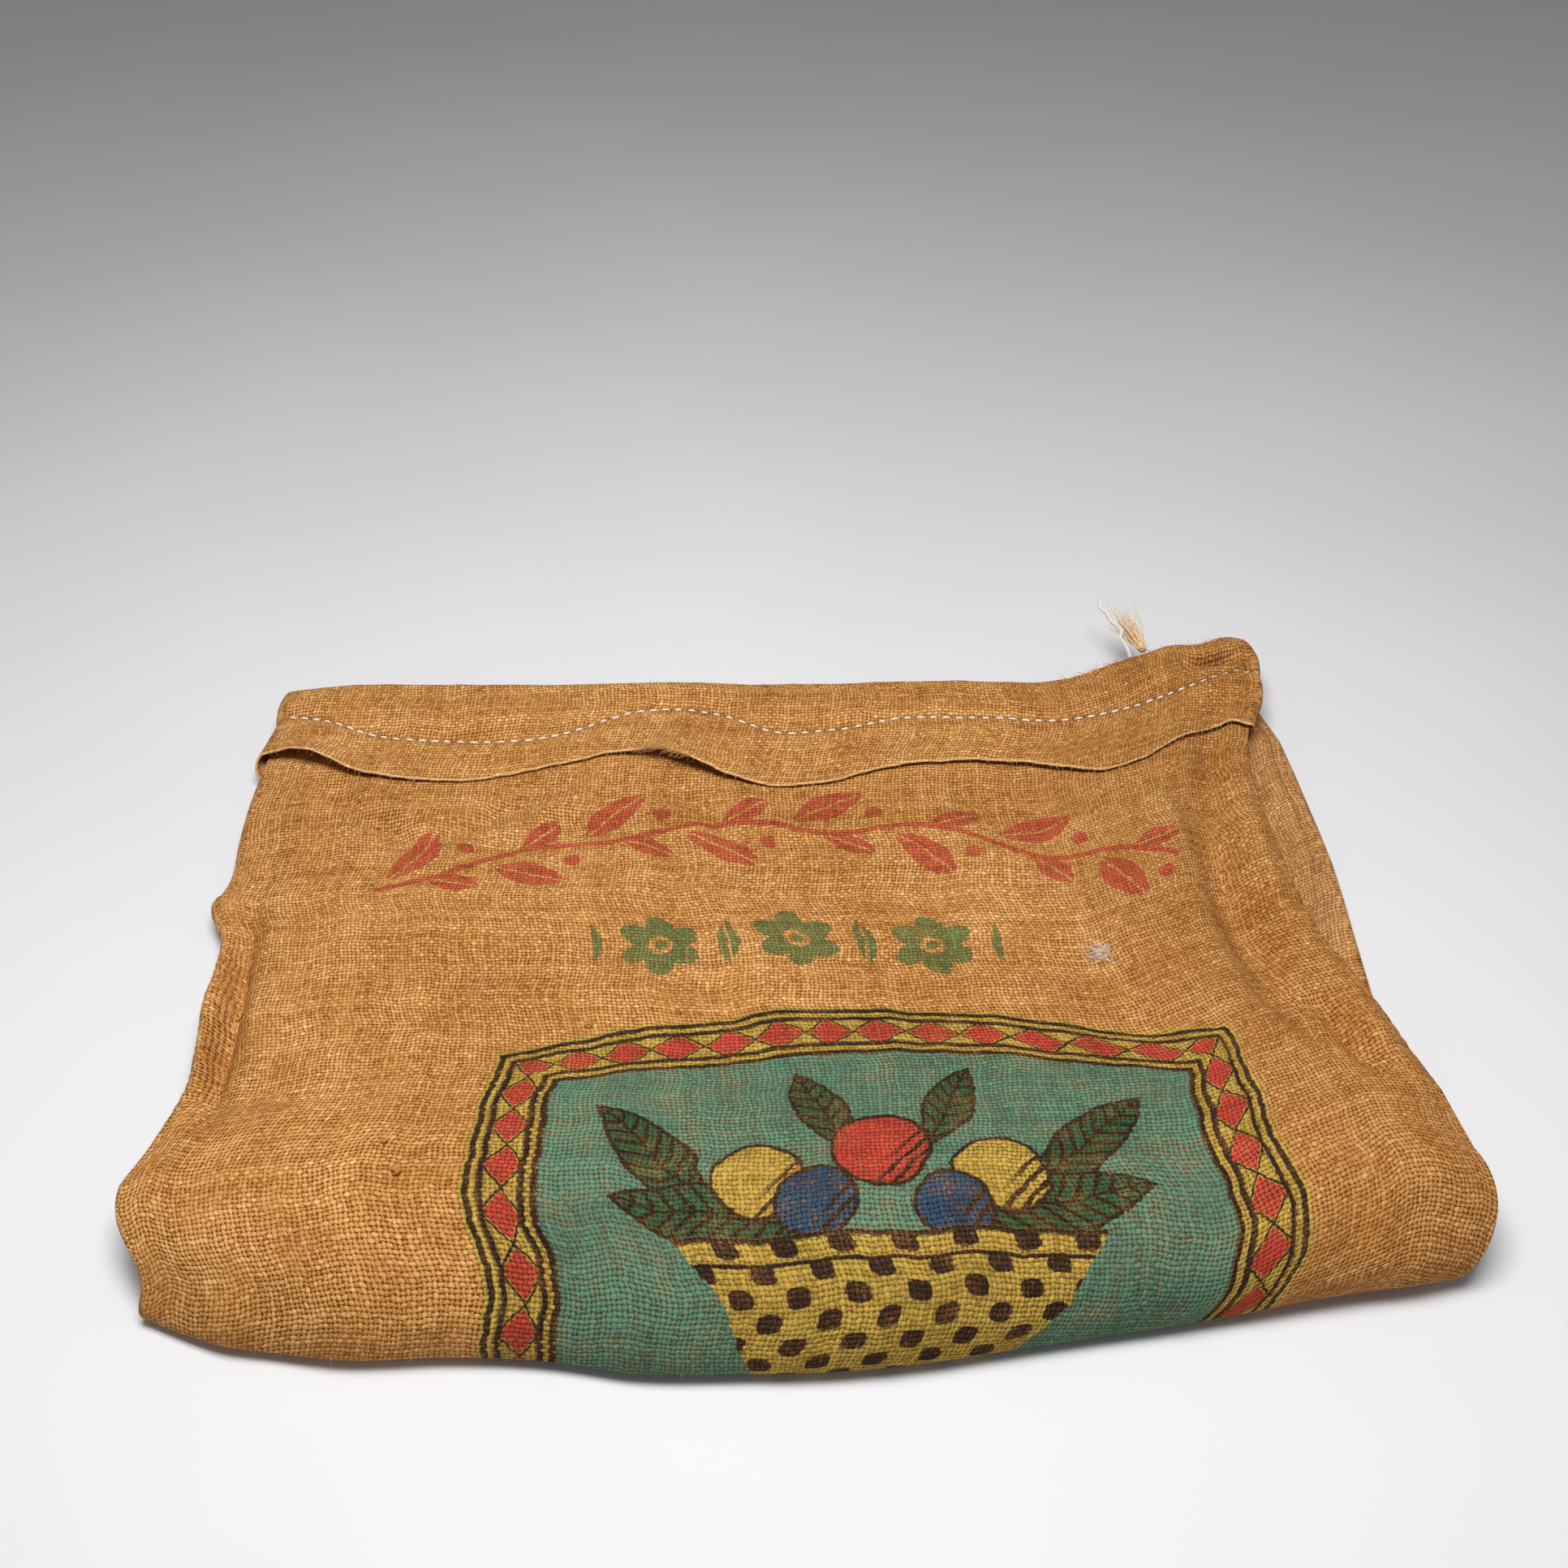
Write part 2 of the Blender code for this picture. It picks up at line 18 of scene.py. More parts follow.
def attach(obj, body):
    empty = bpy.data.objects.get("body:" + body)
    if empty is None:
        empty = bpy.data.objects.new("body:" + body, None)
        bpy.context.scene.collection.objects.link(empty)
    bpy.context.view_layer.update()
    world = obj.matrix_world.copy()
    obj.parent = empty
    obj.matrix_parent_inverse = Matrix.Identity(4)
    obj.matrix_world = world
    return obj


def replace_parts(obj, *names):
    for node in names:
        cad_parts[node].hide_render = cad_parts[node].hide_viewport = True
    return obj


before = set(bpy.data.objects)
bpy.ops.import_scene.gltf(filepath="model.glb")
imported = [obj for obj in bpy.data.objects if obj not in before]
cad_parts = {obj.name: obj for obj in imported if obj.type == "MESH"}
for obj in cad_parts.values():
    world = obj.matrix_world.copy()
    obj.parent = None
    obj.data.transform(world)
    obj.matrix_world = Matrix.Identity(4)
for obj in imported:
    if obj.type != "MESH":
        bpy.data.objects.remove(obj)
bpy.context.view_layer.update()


def millimetres(kind, rows):
    """Named rows in metres, from rows in millimetres."""
    return [kind(*(value / 1000 for value in row)) for row in rows]


# ---- camera, light and floor
CAMERA_PLACE = (-0.0015, -0.6179, 0.629)
CAMERA_PITCH = math.radians(49.5)
CAMERA_LENS = 39.13
SENSOR = 36.0
NEAREST_SEEN = 0.01
LAMP_PLACE = (-0.04, -0.19, 1.15)
LAMP_TARGET = (0.0, -0.09, 0.0)
LAMP_SIZE = (0.75, 0.38)
LAMP_POWER = 16.0
LAMP_TINT = (1.0, 0.995, 1.0)
FILL_LIGHT = 0.195
FLOOR_REACH = 6.0

# ---- the folded cloth: the part's own dimensions
CLOTH = 0.0012
MOUTH_Y = 0.197
CREST_Y = -0.166
END_Y = 0.172
END_LEAN = 0.019            # the closed end reaches further back at its right corner
END_LEAN_START = 0.238
END_LEAN_WIDTH = 0.036
EDGE_GAP = 0.0042
RIGHT_EDGE_GAP = 0.0085
HEM_BEND = 0.0016
HEM_PINCH = 0.0021
HEM_PUFF = 0.0017
HEM_SWELL = 0.0002
LIFT_FADE = 1.6
BACK_STITCH = 0.034
BACK_HEM = 0.068
RIM_WIDTH = 0.012
RIM_DROP = 0.0026
RIGHT_BULGE = 0.0110
LEFT_TUCK = 0.0090
TUCK_PLACE = 0.47
TUCK_REACH = 0.21
RIM_FADE = 4
TOP_LENS = 3
LOW_LENS = 12
SEAM_BAND = 0.2
FRONT_GAP = 0.0130
LOW_GAP = 0.0050
FOLD_STEPS = 25
FOLD_FADE = 0.7
PART_SHIFT = np.array([-0.0015, -0.0169, 0.0])

Side = namedtuple("Side", "y left_top left_low right_top right_low")
SIDES = millimetres(Side, [
    (-165, -281, -264, 296, 270),
    (-140, -275, -266, 294, 281),
    (-110, -270, -268, 290, 287),
    (-80, -273, -270, 283, 287),
    (-50, -278, -272, 274, 286),
    (-25, -279, -272, 267, 287),
    (0, -283, -274, 264, 288),
    (20, -293, -276, 263, 289),
    (45, -290, -277, 262, 290),
    (80, -293, -280, 261, 289),
    (115, -294, -282, 263, 287),
    (135, -293, -283, 269, 286),
    (150, -292, -283, 276, 284.5),
    (175, -291, -284, 279, 278),
    (200, -291, -284, 276, 274),
])

Roll = namedtuple("Roll", "x front depth height")
ROLLS = millimetres(Roll, [
    (-279, -209.5, 46, 33),
    (-262, -216.5, 51.5, 38),
    (-245, -222.2, 56.5, 42),
    (-222, -226, 60.5, 45),
    (-190, -229.5, 64, 47),
    (-140, -228.5, 63.5, 47.5),
    (-104, -230, 65, 48),
    (-65, -235.5, 69.5, 48.5),
    (-20, -236, 70, 49),
    (50, -232.5, 67.5, 49),
    (110, -223, 61, 47),
    (200, -209, 56, 48),
    (250, -200.5, 50.5, 46),
    (280, -196.5, 47.5, 41),
    (304, -190, 44, 33),
])

Mouth = namedtuple("Mouth", "x y height stitch hem lift")
MOUTHS = millimetres(Mouth, [
    (-297, 198, 17, 18, 54, 3),
    (-262, 198, 20, 29, 64, 7.5),
    (-235, 199, 20, 41, 75, 3.5),
    (-190, 199, 20, 47, 81, 0.5),
    (-123, 199, 20.5, 42, 69, 0.5),
    (-90, 199, 21.5, 25, 60, 1.5),
    (-60, 199, 21.5, 22, 64, 5.5),
    (-36, 199, 21, 27, 75, 4.5),
    (-5, 199, 20, 40, 85, 0.5),
    (30, 200, 20, 39, 83, 0.5),
    (70, 202, 20.5, 31, 72, 1),
    (115, 202, 21, 32, 69, 2),
    (160, 201, 21.5, 34, 73, 2.5),
    (200, 218, 23, 40, 85, 0.5),
    (238, 234, 26.5, 38, 77, 1.5),
    (258, 238, 28, 32, 71, 2.4),
    (286, 236, 27.5, 21, 78, 1),
])

Slope = namedtuple("Slope", "way crest_share mouth_share gap")
SLOPES = [
    Slope(0.00, 0.00, 1.00, 0.0036),
    Slope(0.11, 0.00, 0.94, 0.0037),
    Slope(0.21, 0.08, 0.66, 0.0040),
    Slope(0.31, 0.24, 0.32, 0.0044),
    Slope(0.46, 0.43, 0.00, 0.0050),
    Slope(0.66, 0.56, 0.00, 0.0065),
    Slope(0.83, 0.74, 0.00, 0.0090),
    Slope(0.93, 0.92, 0.00, 0.0110),
    Slope(1.00, 1.00, 0.00, 0.0120),
]

# the fold's shape, as shares of the roll's depth and of the crest's height
Turn = namedtuple("Turn", "way forward up")
TURNS = [
    Turn(0.00, 0.00, 1.000),
    Turn(0.12, 0.22, 0.985),
    Turn(0.24, 0.44, 0.925),
    Turn(0.36, 0.65, 0.810),
    Turn(0.48, 0.83, 0.640),
    Turn(0.59, 0.95, 0.450),
    Turn(0.69, 1.00, 0.240),
    Turn(0.78, 0.98, 0.105),
    Turn(0.87, 0.83, 0.030),
    Turn(1.00, 0.52, 0.000),
]

Fold = namedtuple("Fold", "x0 y0 x1 y1 x2 y2 width height")
FOLDS = millimetres(Fold, [
    (-272, 12, -264, -55, -252, -140, 8, -7.5),
    (-285, 35, -278, -50, -268, -140, 7, 3),
    (222, 130, 219, -30, 272, -105, 14, -7),
    (252, 160, 254, 0, 288, -85, 10, 4.5),
    (-215, 60, -150, 50, -60, 110, 22, -2.5),
    (-200, 15, -120, 0, -60, 50, 20, 2),
    (50, 100, 120, 60, 170, -40, 26, 2.2),
    (110, 20, 150, -30, 170, -100, 24, -2.4),
    (-150, -60, -50, -110, 90, -95, 22, -2.6),
    (225, -130, 262, -150, 292, -150, 13, 3),
])

# ---- smaller folds that only the visual model has
CREASES = millimetres(Fold, [
    (252, 186, 235, 140, 231, 40, 9.2, -8.4),
    (231, 105, 224, 0, 238, -60, 10.5, -7.6),
    (254, 160, 250, 70, 254, -30, 7, 3),
    (264, 206, 256, 180, 250, 160, 6, -3),
    (224, -32, 235, -60, 247, -86, 6.5, -4.4),
    (252, -46, 259, -72, 270, -108, 6.5, -6.6),
    (240, -10, 251, -56, 257, -100, 4.5, 2),
    (268, -40, 277, -78, 288, -118, 6, 3.2),
    (195, 130, 212, 90, 216, 50, 7, 1.8),
    (-270, 12, -263, -50, -255, -125, 4.4, -8.8),
    (-281, 10, -274, -50, -265, -130, 5, 4.6),
    (234, 214, 252, 218, 272, 219, 5.5, -13),
    (276, 226, 273, 200, 264, 160, 4, -2.6),
    (-296, 30, -287, 19, -279, 12, 7, 3.6),
    (-271, 50, -271, 18, -266, -10, 6, -3),
    (-262, 128, -228, 85, -185, 55, 7.5, -4.2),
    (-240, 118, -200, 90, -165, 40, 8, 3),
    (-195, 68, -165, 78, -125, 116, 7, -4.2),
    (-155, 70, -120, 90, -98, 122, 7, 3),
    (-68, 120, -40, 90, -22, 60, 7, -4),
    (-36, 122, -10, 95, 2, 66, 7, 2.8),
    (-225, 190, -150, 184, -60, 187, 4, -1.6),
    (-180, 176, -120, 178, -80, 183, 3.5, -1.4),
    (30, 186, 100, 181, 180, 190, 4, -1.6),
    (90, 118, 110, 85, 150, 70, 10, -2),
    (-262, -136, -225, -128, -170, -142, 8, 1.6),
    (-256, -118, -225, -108, -180, -122, 8, -1.6),
])

Dent = namedtuple("Dent", "x y z size depth")
DENTS = millimetres(Dent, [
    (268, -176, 34, 11, 4),
    (236, -182, 36, 12, 2.2),
    (-243, -212, 24, 13, 2.2),
    (-205, -222, 30, 16, 1.6),
    (284, -160, 36, 8, 1.6),
    (274, 218, 30, 4.5, 3),
])

Push = namedtuple("Push", "x y z size dx dy dz")
PUSHES = millimetres(Push, [
    (250, 230, 30, 13, 0, -12, 3),
    (215, -198, 3, 30, 0, 0, 2.6),
    (262, -190, 4, 28, 0, 0, 3.4),
])

Gap = namedtuple("Gap", "x width lift")
HEM_GAPS = millimetres(Gap, [
    (-258, 20, 3),
    (-50, 20, 2.8),
])

RawRow = namedtuple("RawRow", "past drop")
RAW_ROWS = millimetres(RawRow, [(-3.5, 0.95), (-0.4, 0.95), (0.2, 0.3)])
Wave = namedtuple("Wave", "height rate phase")
EDGE_WAVES = [Wave(0.0003, 210.0, 0.0), Wave(0.0002, 467.0, 1.0)]
Ripple = namedtuple("Ripple", "height size")
RIPPLES = millimetres(Ripple, [(1.3, 70), (1.0, 30), (0.45, 12)])
RIPPLE_TURN = 0.72 * math.pi    # how far their direction turns round the fold
RIPPLE_FADE_START = 0.55
RIPPLE_FADE_SPAN = 0.3

# ---- resolution of the visual cloth
FRONT_COLUMNS = 208
BACK_COLUMNS = 60
CAP_COLUMNS = 7
EVEN_COLUMNS = 0.82
COLUMN_CROWDING = 2.2
HEM_OUTER_ROWS = 13         # raw edge to the sewing
HEM_INNER_ROWS = 14         # sewing to the mouth fold
RAW_ROW = 3
BEND_ROWS = 6
UNDER_ROWS = 8
UNDER_TURN = 1.6
TOP_ROWS = 118
ROLL_ROWS = 50
LOW_ROWS = 14
END_ROWS = 3
END_SQUEEZE = 0.02
SKIN = 0.00045              # from the middle of the cloth to its visible face
STITCH_DENT = 0.00075       # how far the sewing draws the hem down, and over what width
STITCH_DENT_WIDTH = 0.0028
LEAST_HEIGHT = 0.00012

# ---- flat cloth
HALF_WIDTH = 0.2875         # half the sack's girth is its front panel
END_MEASURE_START = 1.2     # where the back panel starts to be measured from the closed end
END_MEASURE_SPAN = 0.6
BAKE_FRONT, BAKE_SEEN, BAKE_SEEN_END = 0.60, 0.80, 0.50
BAKE_LOW, BAKE_HIGH = 0.002, 0.998

# ---- sewing and loose ends
FIRST_STITCH = 0.003
STITCH_PITCH = 0.0075
STITCH_LENGTH = 0.0043
STITCH_RADIUS = 0.00062
STITCH_SINK = 0.00020
CORNER_STITCHES_X = 0.232   # the stitches shrink to half size into the right corner
CORNER_STITCHES_WIDTH = 0.018
TAIL_DIAMETER = 0.0016
TAIL_POINTS = 26
TAIL_FINE_POINTS = 170
TAIL_PLIES = 3
TAIL_TWIST = 0.0044
PLY_REACH = TAIL_DIAMETER * 0.40
PLY_RADIUS = TAIL_DIAMETER * 0.28
Stop = namedtuple("Stop", "x y z")
TAIL_ROUTE = millimetres(Stop, [
    (206.2, 220.6, 26.6),
    (205, 227, 29),
    (202, 234, 31.2),
    (203, 241, 32.6),
    (198.2, 248, 33.2),
    (197.2, 256, 33),
    (194, 264, 32),
    (195.2, 273, 30.2),
])
TUFT_ROOT = (0.2145, 0.2269, 0.0275)
TUFT_AIM = (-0.24, 0.95, 0.16)
TUFT_STRANDS = 84
TUFT_SPREAD = (0.10, 0.06, 0.08)
TUFT_ROOT_SPREAD = (0.0011, 0.0007, 0.0008)
TUFT_RADII = (0.00016, 0.00036)
TUFT_TURNS = 5
TURN_RISE = 0.0009
TURN_SIZE = (0.0021, 0.0002, 0.0019)
TURN_RADIUS = 0.00042

# a hair's reach is its least and its greatest length; in MOUTH_HAIR, as shares of the spray's
Hair = namedtuple("Hair", "radius droop curl steps sides reach")
TUFT_HAIR = Hair(0.00026, 0.22, 0.26, 7, 4, (0.022, 0.043))
EDGE_HAIR = Hair(0.00009, 0.3, 0.6, 4, 3, (0.0015, 0.0055))
SPOT_HAIR = Hair(0.00018, 0.4, 0.6, 5, 3, (0.004, 0.012))
MOUTH_HAIR = Hair(0.00012, 0.5, 0.7, 5, 3, (0.4, 1.0))
NAP_HAIR = Hair(0.00006, 0.2, 0.7, 3, 3, (0.0012, 0.0042))
LINT_HAIR = Hair(0.00013, 0.6, 1.2, 7, 3, (0.004, 0.010))
# the mean and the spread of a hair's direction, in x, y and z
SPOT_AIM = ((-0.7, 0.9), (-0.45, 0.3), (0.25, 0.15))
MOUTH_AIM = ((-0.8, 1.0), (0.3, 0.3), (0.15, 0.2))
LINT_AIM = ((0, 1), (0.2, 1), (0.3, 0.4))
NAP_SPREAD = (0.8, 0.8, 0.4)
SPOT_LIFT = (0.0, -0.0003, 0.0009)
EDGE_HAIRS, SPOT_HAIRS, NAP_HAIRS, LINT_HAIRS = 230, 60, 1500, 80
FRAYED_SPOT = (-0.083, -0.055)
Spray = namedtuple("Spray", "low high count reach")
MOUTH_SPRAYS = [
    Spray(0.160, 0.206, 46, 0.010),
    Spray(0.212, 0.262, 40, 0.008),
    Spray(-0.29, 0.16, 90, 0.003),
]
LINT_PLACE = (0.1535, -0.0385)
Knot = namedtuple("Knot", "x y size")
KNOTS = millimetres(Knot, [(-162.5, -184, 3.2), (-92.5, -88, 2.6), (-170.5, -168, 2.2)])
KNOT_LOOPS = 5
KNOT_POINTS = 12
NAP_END = 0.72              # how far round the fold the nap is made

# ---- colours, from display values of 0 to 255
def srgb(red, green, blue):
    """A linear colour from display values."""
    def straight(value):
        value = value / 255
        return value / 12.92 if value <= 0.04045 else ((value + 0.055) / 1.055) ** 2.4
    return (straight(red), straight(green), straight(blue), 1.0)


# thread colours along their lightness; the darkest stops are painted shade in the gaps between threads
THREAD_STOPS = (
    (0.06, srgb(96, 52, 18)),
    (0.30, srgb(151, 94, 39)),
    (0.54, srgb(191, 134, 72)),
    (0.76, srgb(218, 163, 99)),
    (0.98, srgb(242, 199, 142)),
)
BACK_SHADE = srgb(160, 128, 100)
# painted highlight along the hem's raw edge
RAW_EDGE_HIGHLIGHT = srgb(244, 206, 150)
# painted shade colour for the right part of the front panel
RIGHT_SIDE_SHADE = srgb(122, 70, 24)
SEAM_SHADE = srgb(96, 58, 26)
INK_RED = srgb(184, 60, 50)
INK_GREEN = srgb(56, 110, 64)
INK_TEAL = srgb(84, 126, 102)
INK_GOLD = srgb(184, 152, 66)
INK_LINE = srgb(32, 27, 26)
INK_BLUE = srgb(20, 66, 92)
INK_LEAF = srgb(40, 84, 52)
FLOOR_TONES = (srgb(219, 219, 221), srgb(223, 223, 224))
Fibre = namedtuple("Fibre", "pale dark twist")
WHITE_THREAD = Fibre(srgb(250, 247, 240), srgb(222, 214, 200), 2500.0)
PALE_JUTE = Fibre(srgb(248, 224, 178), srgb(212, 168, 112), 900.0)
JUTE_FIBRE = Fibre(srgb(242, 204, 146), srgb(200, 150, 90), 1200.0)
KNOTTED_JUTE = Fibre(srgb(208, 150, 84), srgb(150, 94, 42), 1500.0)

# ---- weave
Yarn = namedtuple("Yarn", "pitch grain seed slubs stride by_chance by_slub half rise")
WARP = Yarn(0.00215, 230.0, 0.0, 190.0, 5.17, 0.05, 0.16, 0.27, 0.55)
WEFT = Yarn(0.00220, 250.0, 911.0, 170.0, 7.31, 0.06, 0.20, 0.29, 0.58)
YARN_JITTER = 0.0016
YARN_WAVE = 0.42
Wander = namedtuple("Wander", "stretch shift scale detail reach")
WARP_WANDERS = [Wander(0.22, 0.0, 8.0, 3.0, 0.0200), Wander(0.35, 7.0, 26.0, 2.0, 0.0085)]
WEFT_WANDERS = [Wander(0.22, 3.0, 7.0, 3.0, 0.0240), Wander(0.35, 5.0, 28.0, 2.0, 0.0060)]
# a thread's lightness: body and height paint shade into the gaps and highlight onto the tops; the other
# terms are the threads' own tone
Light = namedtuple("Light", "body height drop fibre tone slub patch weft base")
THREAD_TONE_AND_SHADE = Light(0.52, 0.28, 0.48, 0.60, 0.16, 0.60, 0.22, 0.05, 0.375)
BODY_TOP = 0.66
# noises as scale, detail and roughness; ramps as from, to and the values at both
CLEAR_NOISE, CLEAR_RAMP = (34.0, 4.0), (0.36, 0.62, 0.55, 1.0)
CLEAR_SHIFT = 9.0
FIBRE_NOISE = (1100.0, 3.0, 0.6)
PATCH_NOISE = (11.0, 5.0, 0.6)
# painted shade: the right part of the front panel is darkened brown, in patches, across these u
RIGHT_SIDE_SHADE_FROM = (0.110, 0.205)
RIGHT_SIDE_SHADE_PATCHES, RIGHT_SIDE_SHADE_SHARE = 0.24, 0.06
Finish = namedtuple("Finish", "roughness gloss strength distance")
BURLAP_FINISH = Finish(0.92, 0.10, 0.8, 0.0008)
FIBRE_FINISH = Finish(0.85, 0.25, 0.5, 0.0002)
SEAM_FROM = HALF_WIDTH + EDGE_GAP
SEAM_SHIFT = (0.660, 0.780, 0.0125, 0.0045)
SEAM_RELIEF = 1.6
SEAM_RIDGE = (0.0, 0.0030)
SEAM_SIDE = 0.0032
BACK_SHARE = 0.20
Band = namedtuple("Band", "core edge share tone")
# the raw edge's band is a painted highlight
RAW_EDGE_HIGHLIGHT_BAND = Band(0.0006, 0.0016, 0.60, RAW_EDGE_HIGHLIGHT)
SEWN_BAND = Band(0.0008, 0.0030, 0.30, SEAM_SHADE)
SEAM_EDGE = Band(0.0, 0.0022, 0.32, SEAM_SHADE)
FIBRE_RELIEF = 0.22

# ---- prints
Leaf = namedtuple("Leaf", "x y turn reach width")
INK_EDGE = 0.0004
WARP_BLEED, WEFT_BLEED = 0.0012, 0.0016
Wear = namedtuple("Wear", "patch fibre slub span least thin sunk")
WEAR = Wear(0.7, 1.1, 0.6, 0.48, 0.49, 0.10, 0.30)
WEAR_NOISE = (48.0, 6.0, 0.7)
WEAR_RAMP = (-0.40, 0.08)
# ink scaled from dark in the gaps to light on the thread tops: painted shade and painted highlight
INK_TONE_AND_SHADE = (0.05, 0.95, 0.32, 1.26)
VEIN = (0.0004, 0.0010)
PRINT_MIDDLE = 0.012
GARLAND_TOP = 0.118
GARLAND_BEND = 0.46
GARLAND_CELL = 0.0560
GARLAND_WAVE = 0.0045
GARLAND_VINE = (0.0018, 0.0026)
GARLAND_END = (0.2230, 0.2245)
GARLAND_LEAVES = [
    Leaf(-0.002, 0.0175, 0.62, 0.0230, 0.0098),
    Leaf(0.0120, -0.0130, -0.55, 0.0160, 0.0070),
]
GARLAND_BERRY = (0.0235, 0.0130, 0.0050)
ROSETTE_CELL = 0.0700
ROSETTE_TOP = 0.2080
ROSETTE_DROP = 0.0045
ROSETTE_CORE = (0.0058, 0.0066)
ROSETTE_DOT = 0.0034
PETAL_BASE, PETAL_REACH = 0.0140, 0.0080
SPRIG = Leaf(0.0350, 0.0, 1.57, 0.0165, 0.0056)
PANEL_LEFT, PANEL_RIGHT = -0.140, 0.200
PANEL_TOP = 0.262
PANEL_RIM = 0.0300
PANEL_ARCH = 1.15
PANEL_BLEED = 0.002
LOZENGE = 0.0240
FRAME_LINES = (0.0012, 0.0064, PANEL_RIM - 0.0068, PANEL_RIM - 0.0014)
FRAME_LINE = (0.0009, 0.0018)
LEAVES = [
    Leaf(-0.094, 0.098, 0.85, 0.036, 0.0125),
    Leaf(0.092, 0.094, 2.35, 0.036, 0.0125),
    Leaf(-0.070, 0.128, 0.15, 0.040, 0.0135),
    Leaf(0.072, 0.126, 2.95, 0.040, 0.0135),
    Leaf(-0.022, 0.072, 1.20, 0.030, 0.0105),
    Leaf(0.034, 0.070, 1.95, 0.030, 0.0105),
]
Fruit = namedtuple("Fruit", "x y radius ink")
FRUITS = [
    Fruit(-0.050, 0.112, 0.0190, INK_GOLD),
    Fruit(0.052, 0.112, 0.0200, INK_GOLD),
    Fruit(0.002, 0.098, 0.0215, INK_RED),
    Fruit(-0.026, 0.124, 0.0170, INK_BLUE),
    Fruit(0.030, 0.128, 0.0160, INK_BLUE),
]
BOWL_TOP = 0.138
BOWL_HALF = 0.0880
BOWL_TAPER = 0.55


# ---- curves
def blend(a, b, share):
    """From a to b by a share."""
    return a + (b - a) * share


def ease(u):
    """0 to 1 with level ends."""
    u = np.clip(u, 0.0, 1.0)
    return u * u * (3 - 2 * u)


def bell(away, width):
    """1 at a place, falling to 0 over a width."""
    return np.exp(-((away / width) ** 2))


def unit(vectors):
    """Vectors scaled to a length of 1."""
    return vectors / np.linalg.norm(vectors, axis=-1, keepdims=True)


def cubic(keys, values, slopes, at):
    """A smooth curve through values at keys, with a slope at each."""
    row = np.clip(np.searchsorted(keys, at) - 1, 0, len(keys) - 2)
    span = keys[row + 1] - keys[row]
    u = np.clip((at - keys[row]) / span, 0.0, 1.0)
    if values.ndim > 1:
        u, span = u[:, None], span[:, None]
    start = (1 + 2 * u) * (1 - u) ** 2 * values[row] + u * (1 - u) ** 2 * span * slopes[row]
    stop = u**2 * (3 - 2 * u) * values[row + 1] + u**2 * (u - 1) * span * slopes[row + 1]
    return start + stop


def smooth(table, key, column, at):
    """A table's column at the given keys, on a smooth curve through its rows."""
    keys = np.array([getattr(row, key) for row in table])
    values = np.array([getattr(row, column) for row in table])
    return cubic(keys, values, np.gradient(values, keys), at)


def way_along(points):
    """Distance from the first point to each point of a line."""
    steps = np.linalg.norm(np.diff(points, axis=0), axis=1)
    return np.concatenate([[0.0], np.cumsum(steps)])


def smooth_route(stops, points):
    """Evenly spaced points on a smooth curve through the stops of a route."""
    places = np.array(stops)
    way = way_along(places)
    return cubic(way, places, np.gradient(places, way, axis=0), np.linspace(0.0, way[-1], points))


def fold_height(folds, x, y):
    """Sum of soft troughs and ridges at a place on the upper half."""
    total = np.zeros_like(x)
    for fold in folds:
        nearest = np.full_like(x, np.inf)
        fade = np.zeros_like(x)
        for u in np.linspace(0.0, 1.0, FOLD_STEPS):
            line_x = (1 - u) ** 2 * fold.x0 + 2 * u * (1 - u) * fold.x1 + u**2 * fold.x2
            line_y = (1 - u) ** 2 * fold.y0 + 2 * u * (1 - u) * fold.y1 + u**2 * fold.y2
            away = np.hypot(x - line_x, y - line_y)
            closer = away < nearest
            nearest = np.where(closer, away, nearest)
            fade = np.where(closer, math.sin(math.pi * u) ** FOLD_FADE, fade)
        total += fold.height * fade * bell(nearest, fold.width)
    return total


# ---- the folded tube; its way q is 0 at the mouth, 1 the crest, 2 the surface and 3 the closed end
def side_reach(q):
    """The left and right side folds at a way q."""
    top_y = blend(MOUTH_Y, CREST_Y, np.clip(q, 0, 1))
    low_y = blend(CREST_Y, END_Y, np.clip(q - 2, 0, 1))
    turn = ease(q - 1)

    def side(name):
        top = smooth(SIDES, "y", name + "_top", top_y)
        return (1 - turn) * top + turn * smooth(SIDES, "y", name + "_low", low_y)

    right = side("right") + RIGHT_BULGE * np.sin(math.pi * np.clip(q - 1, 0, 1))
    left = side("left") + LEFT_TUCK * bell(q - 1 - TUCK_PLACE, TUCK_REACH)
    return left + EDGE_GAP / 2, right - EDGE_GAP / 2


def panel_gaps(q, across):
    """Room between the two panels: on the upper half, at the crest, at the fold and below."""
    lens = 1 - np.abs(across) ** TOP_LENS
    by_seam = ease((across - 1 + SEAM_BAND) / SEAM_BAND) * ease(q - 1)
    side_gap = blend(EDGE_GAP, RIGHT_EDGE_GAP, by_seam)
    top_gap = blend(EDGE_GAP, smooth(SLOPES, "way", "gap", np.clip(q, 0, 1)), lens)
    crest_gap = blend(EDGE_GAP, SLOPES[-1].gap, lens)
    low_gap = blend(side_gap, LOW_GAP, 1 - np.abs(across) ** LOW_LENS)
    return top_gap, crest_gap, blend(EDGE_GAP, FRONT_GAP, lens), low_gap


def top_height(x, way, crest, rim):
    """Height of the upper half's outer panel, a distance rim from its nearer side fold."""
    mouth = smooth(MOUTHS, "x", "height", x)
    z = crest * smooth(SLOPES, "way", "crest_share", way)
    z += mouth * smooth(SLOPES, "way", "mouth_share", way)
    return z - RIM_DROP * np.exp(-rim / RIM_WIDTH) * (1 - way**RIM_FADE)


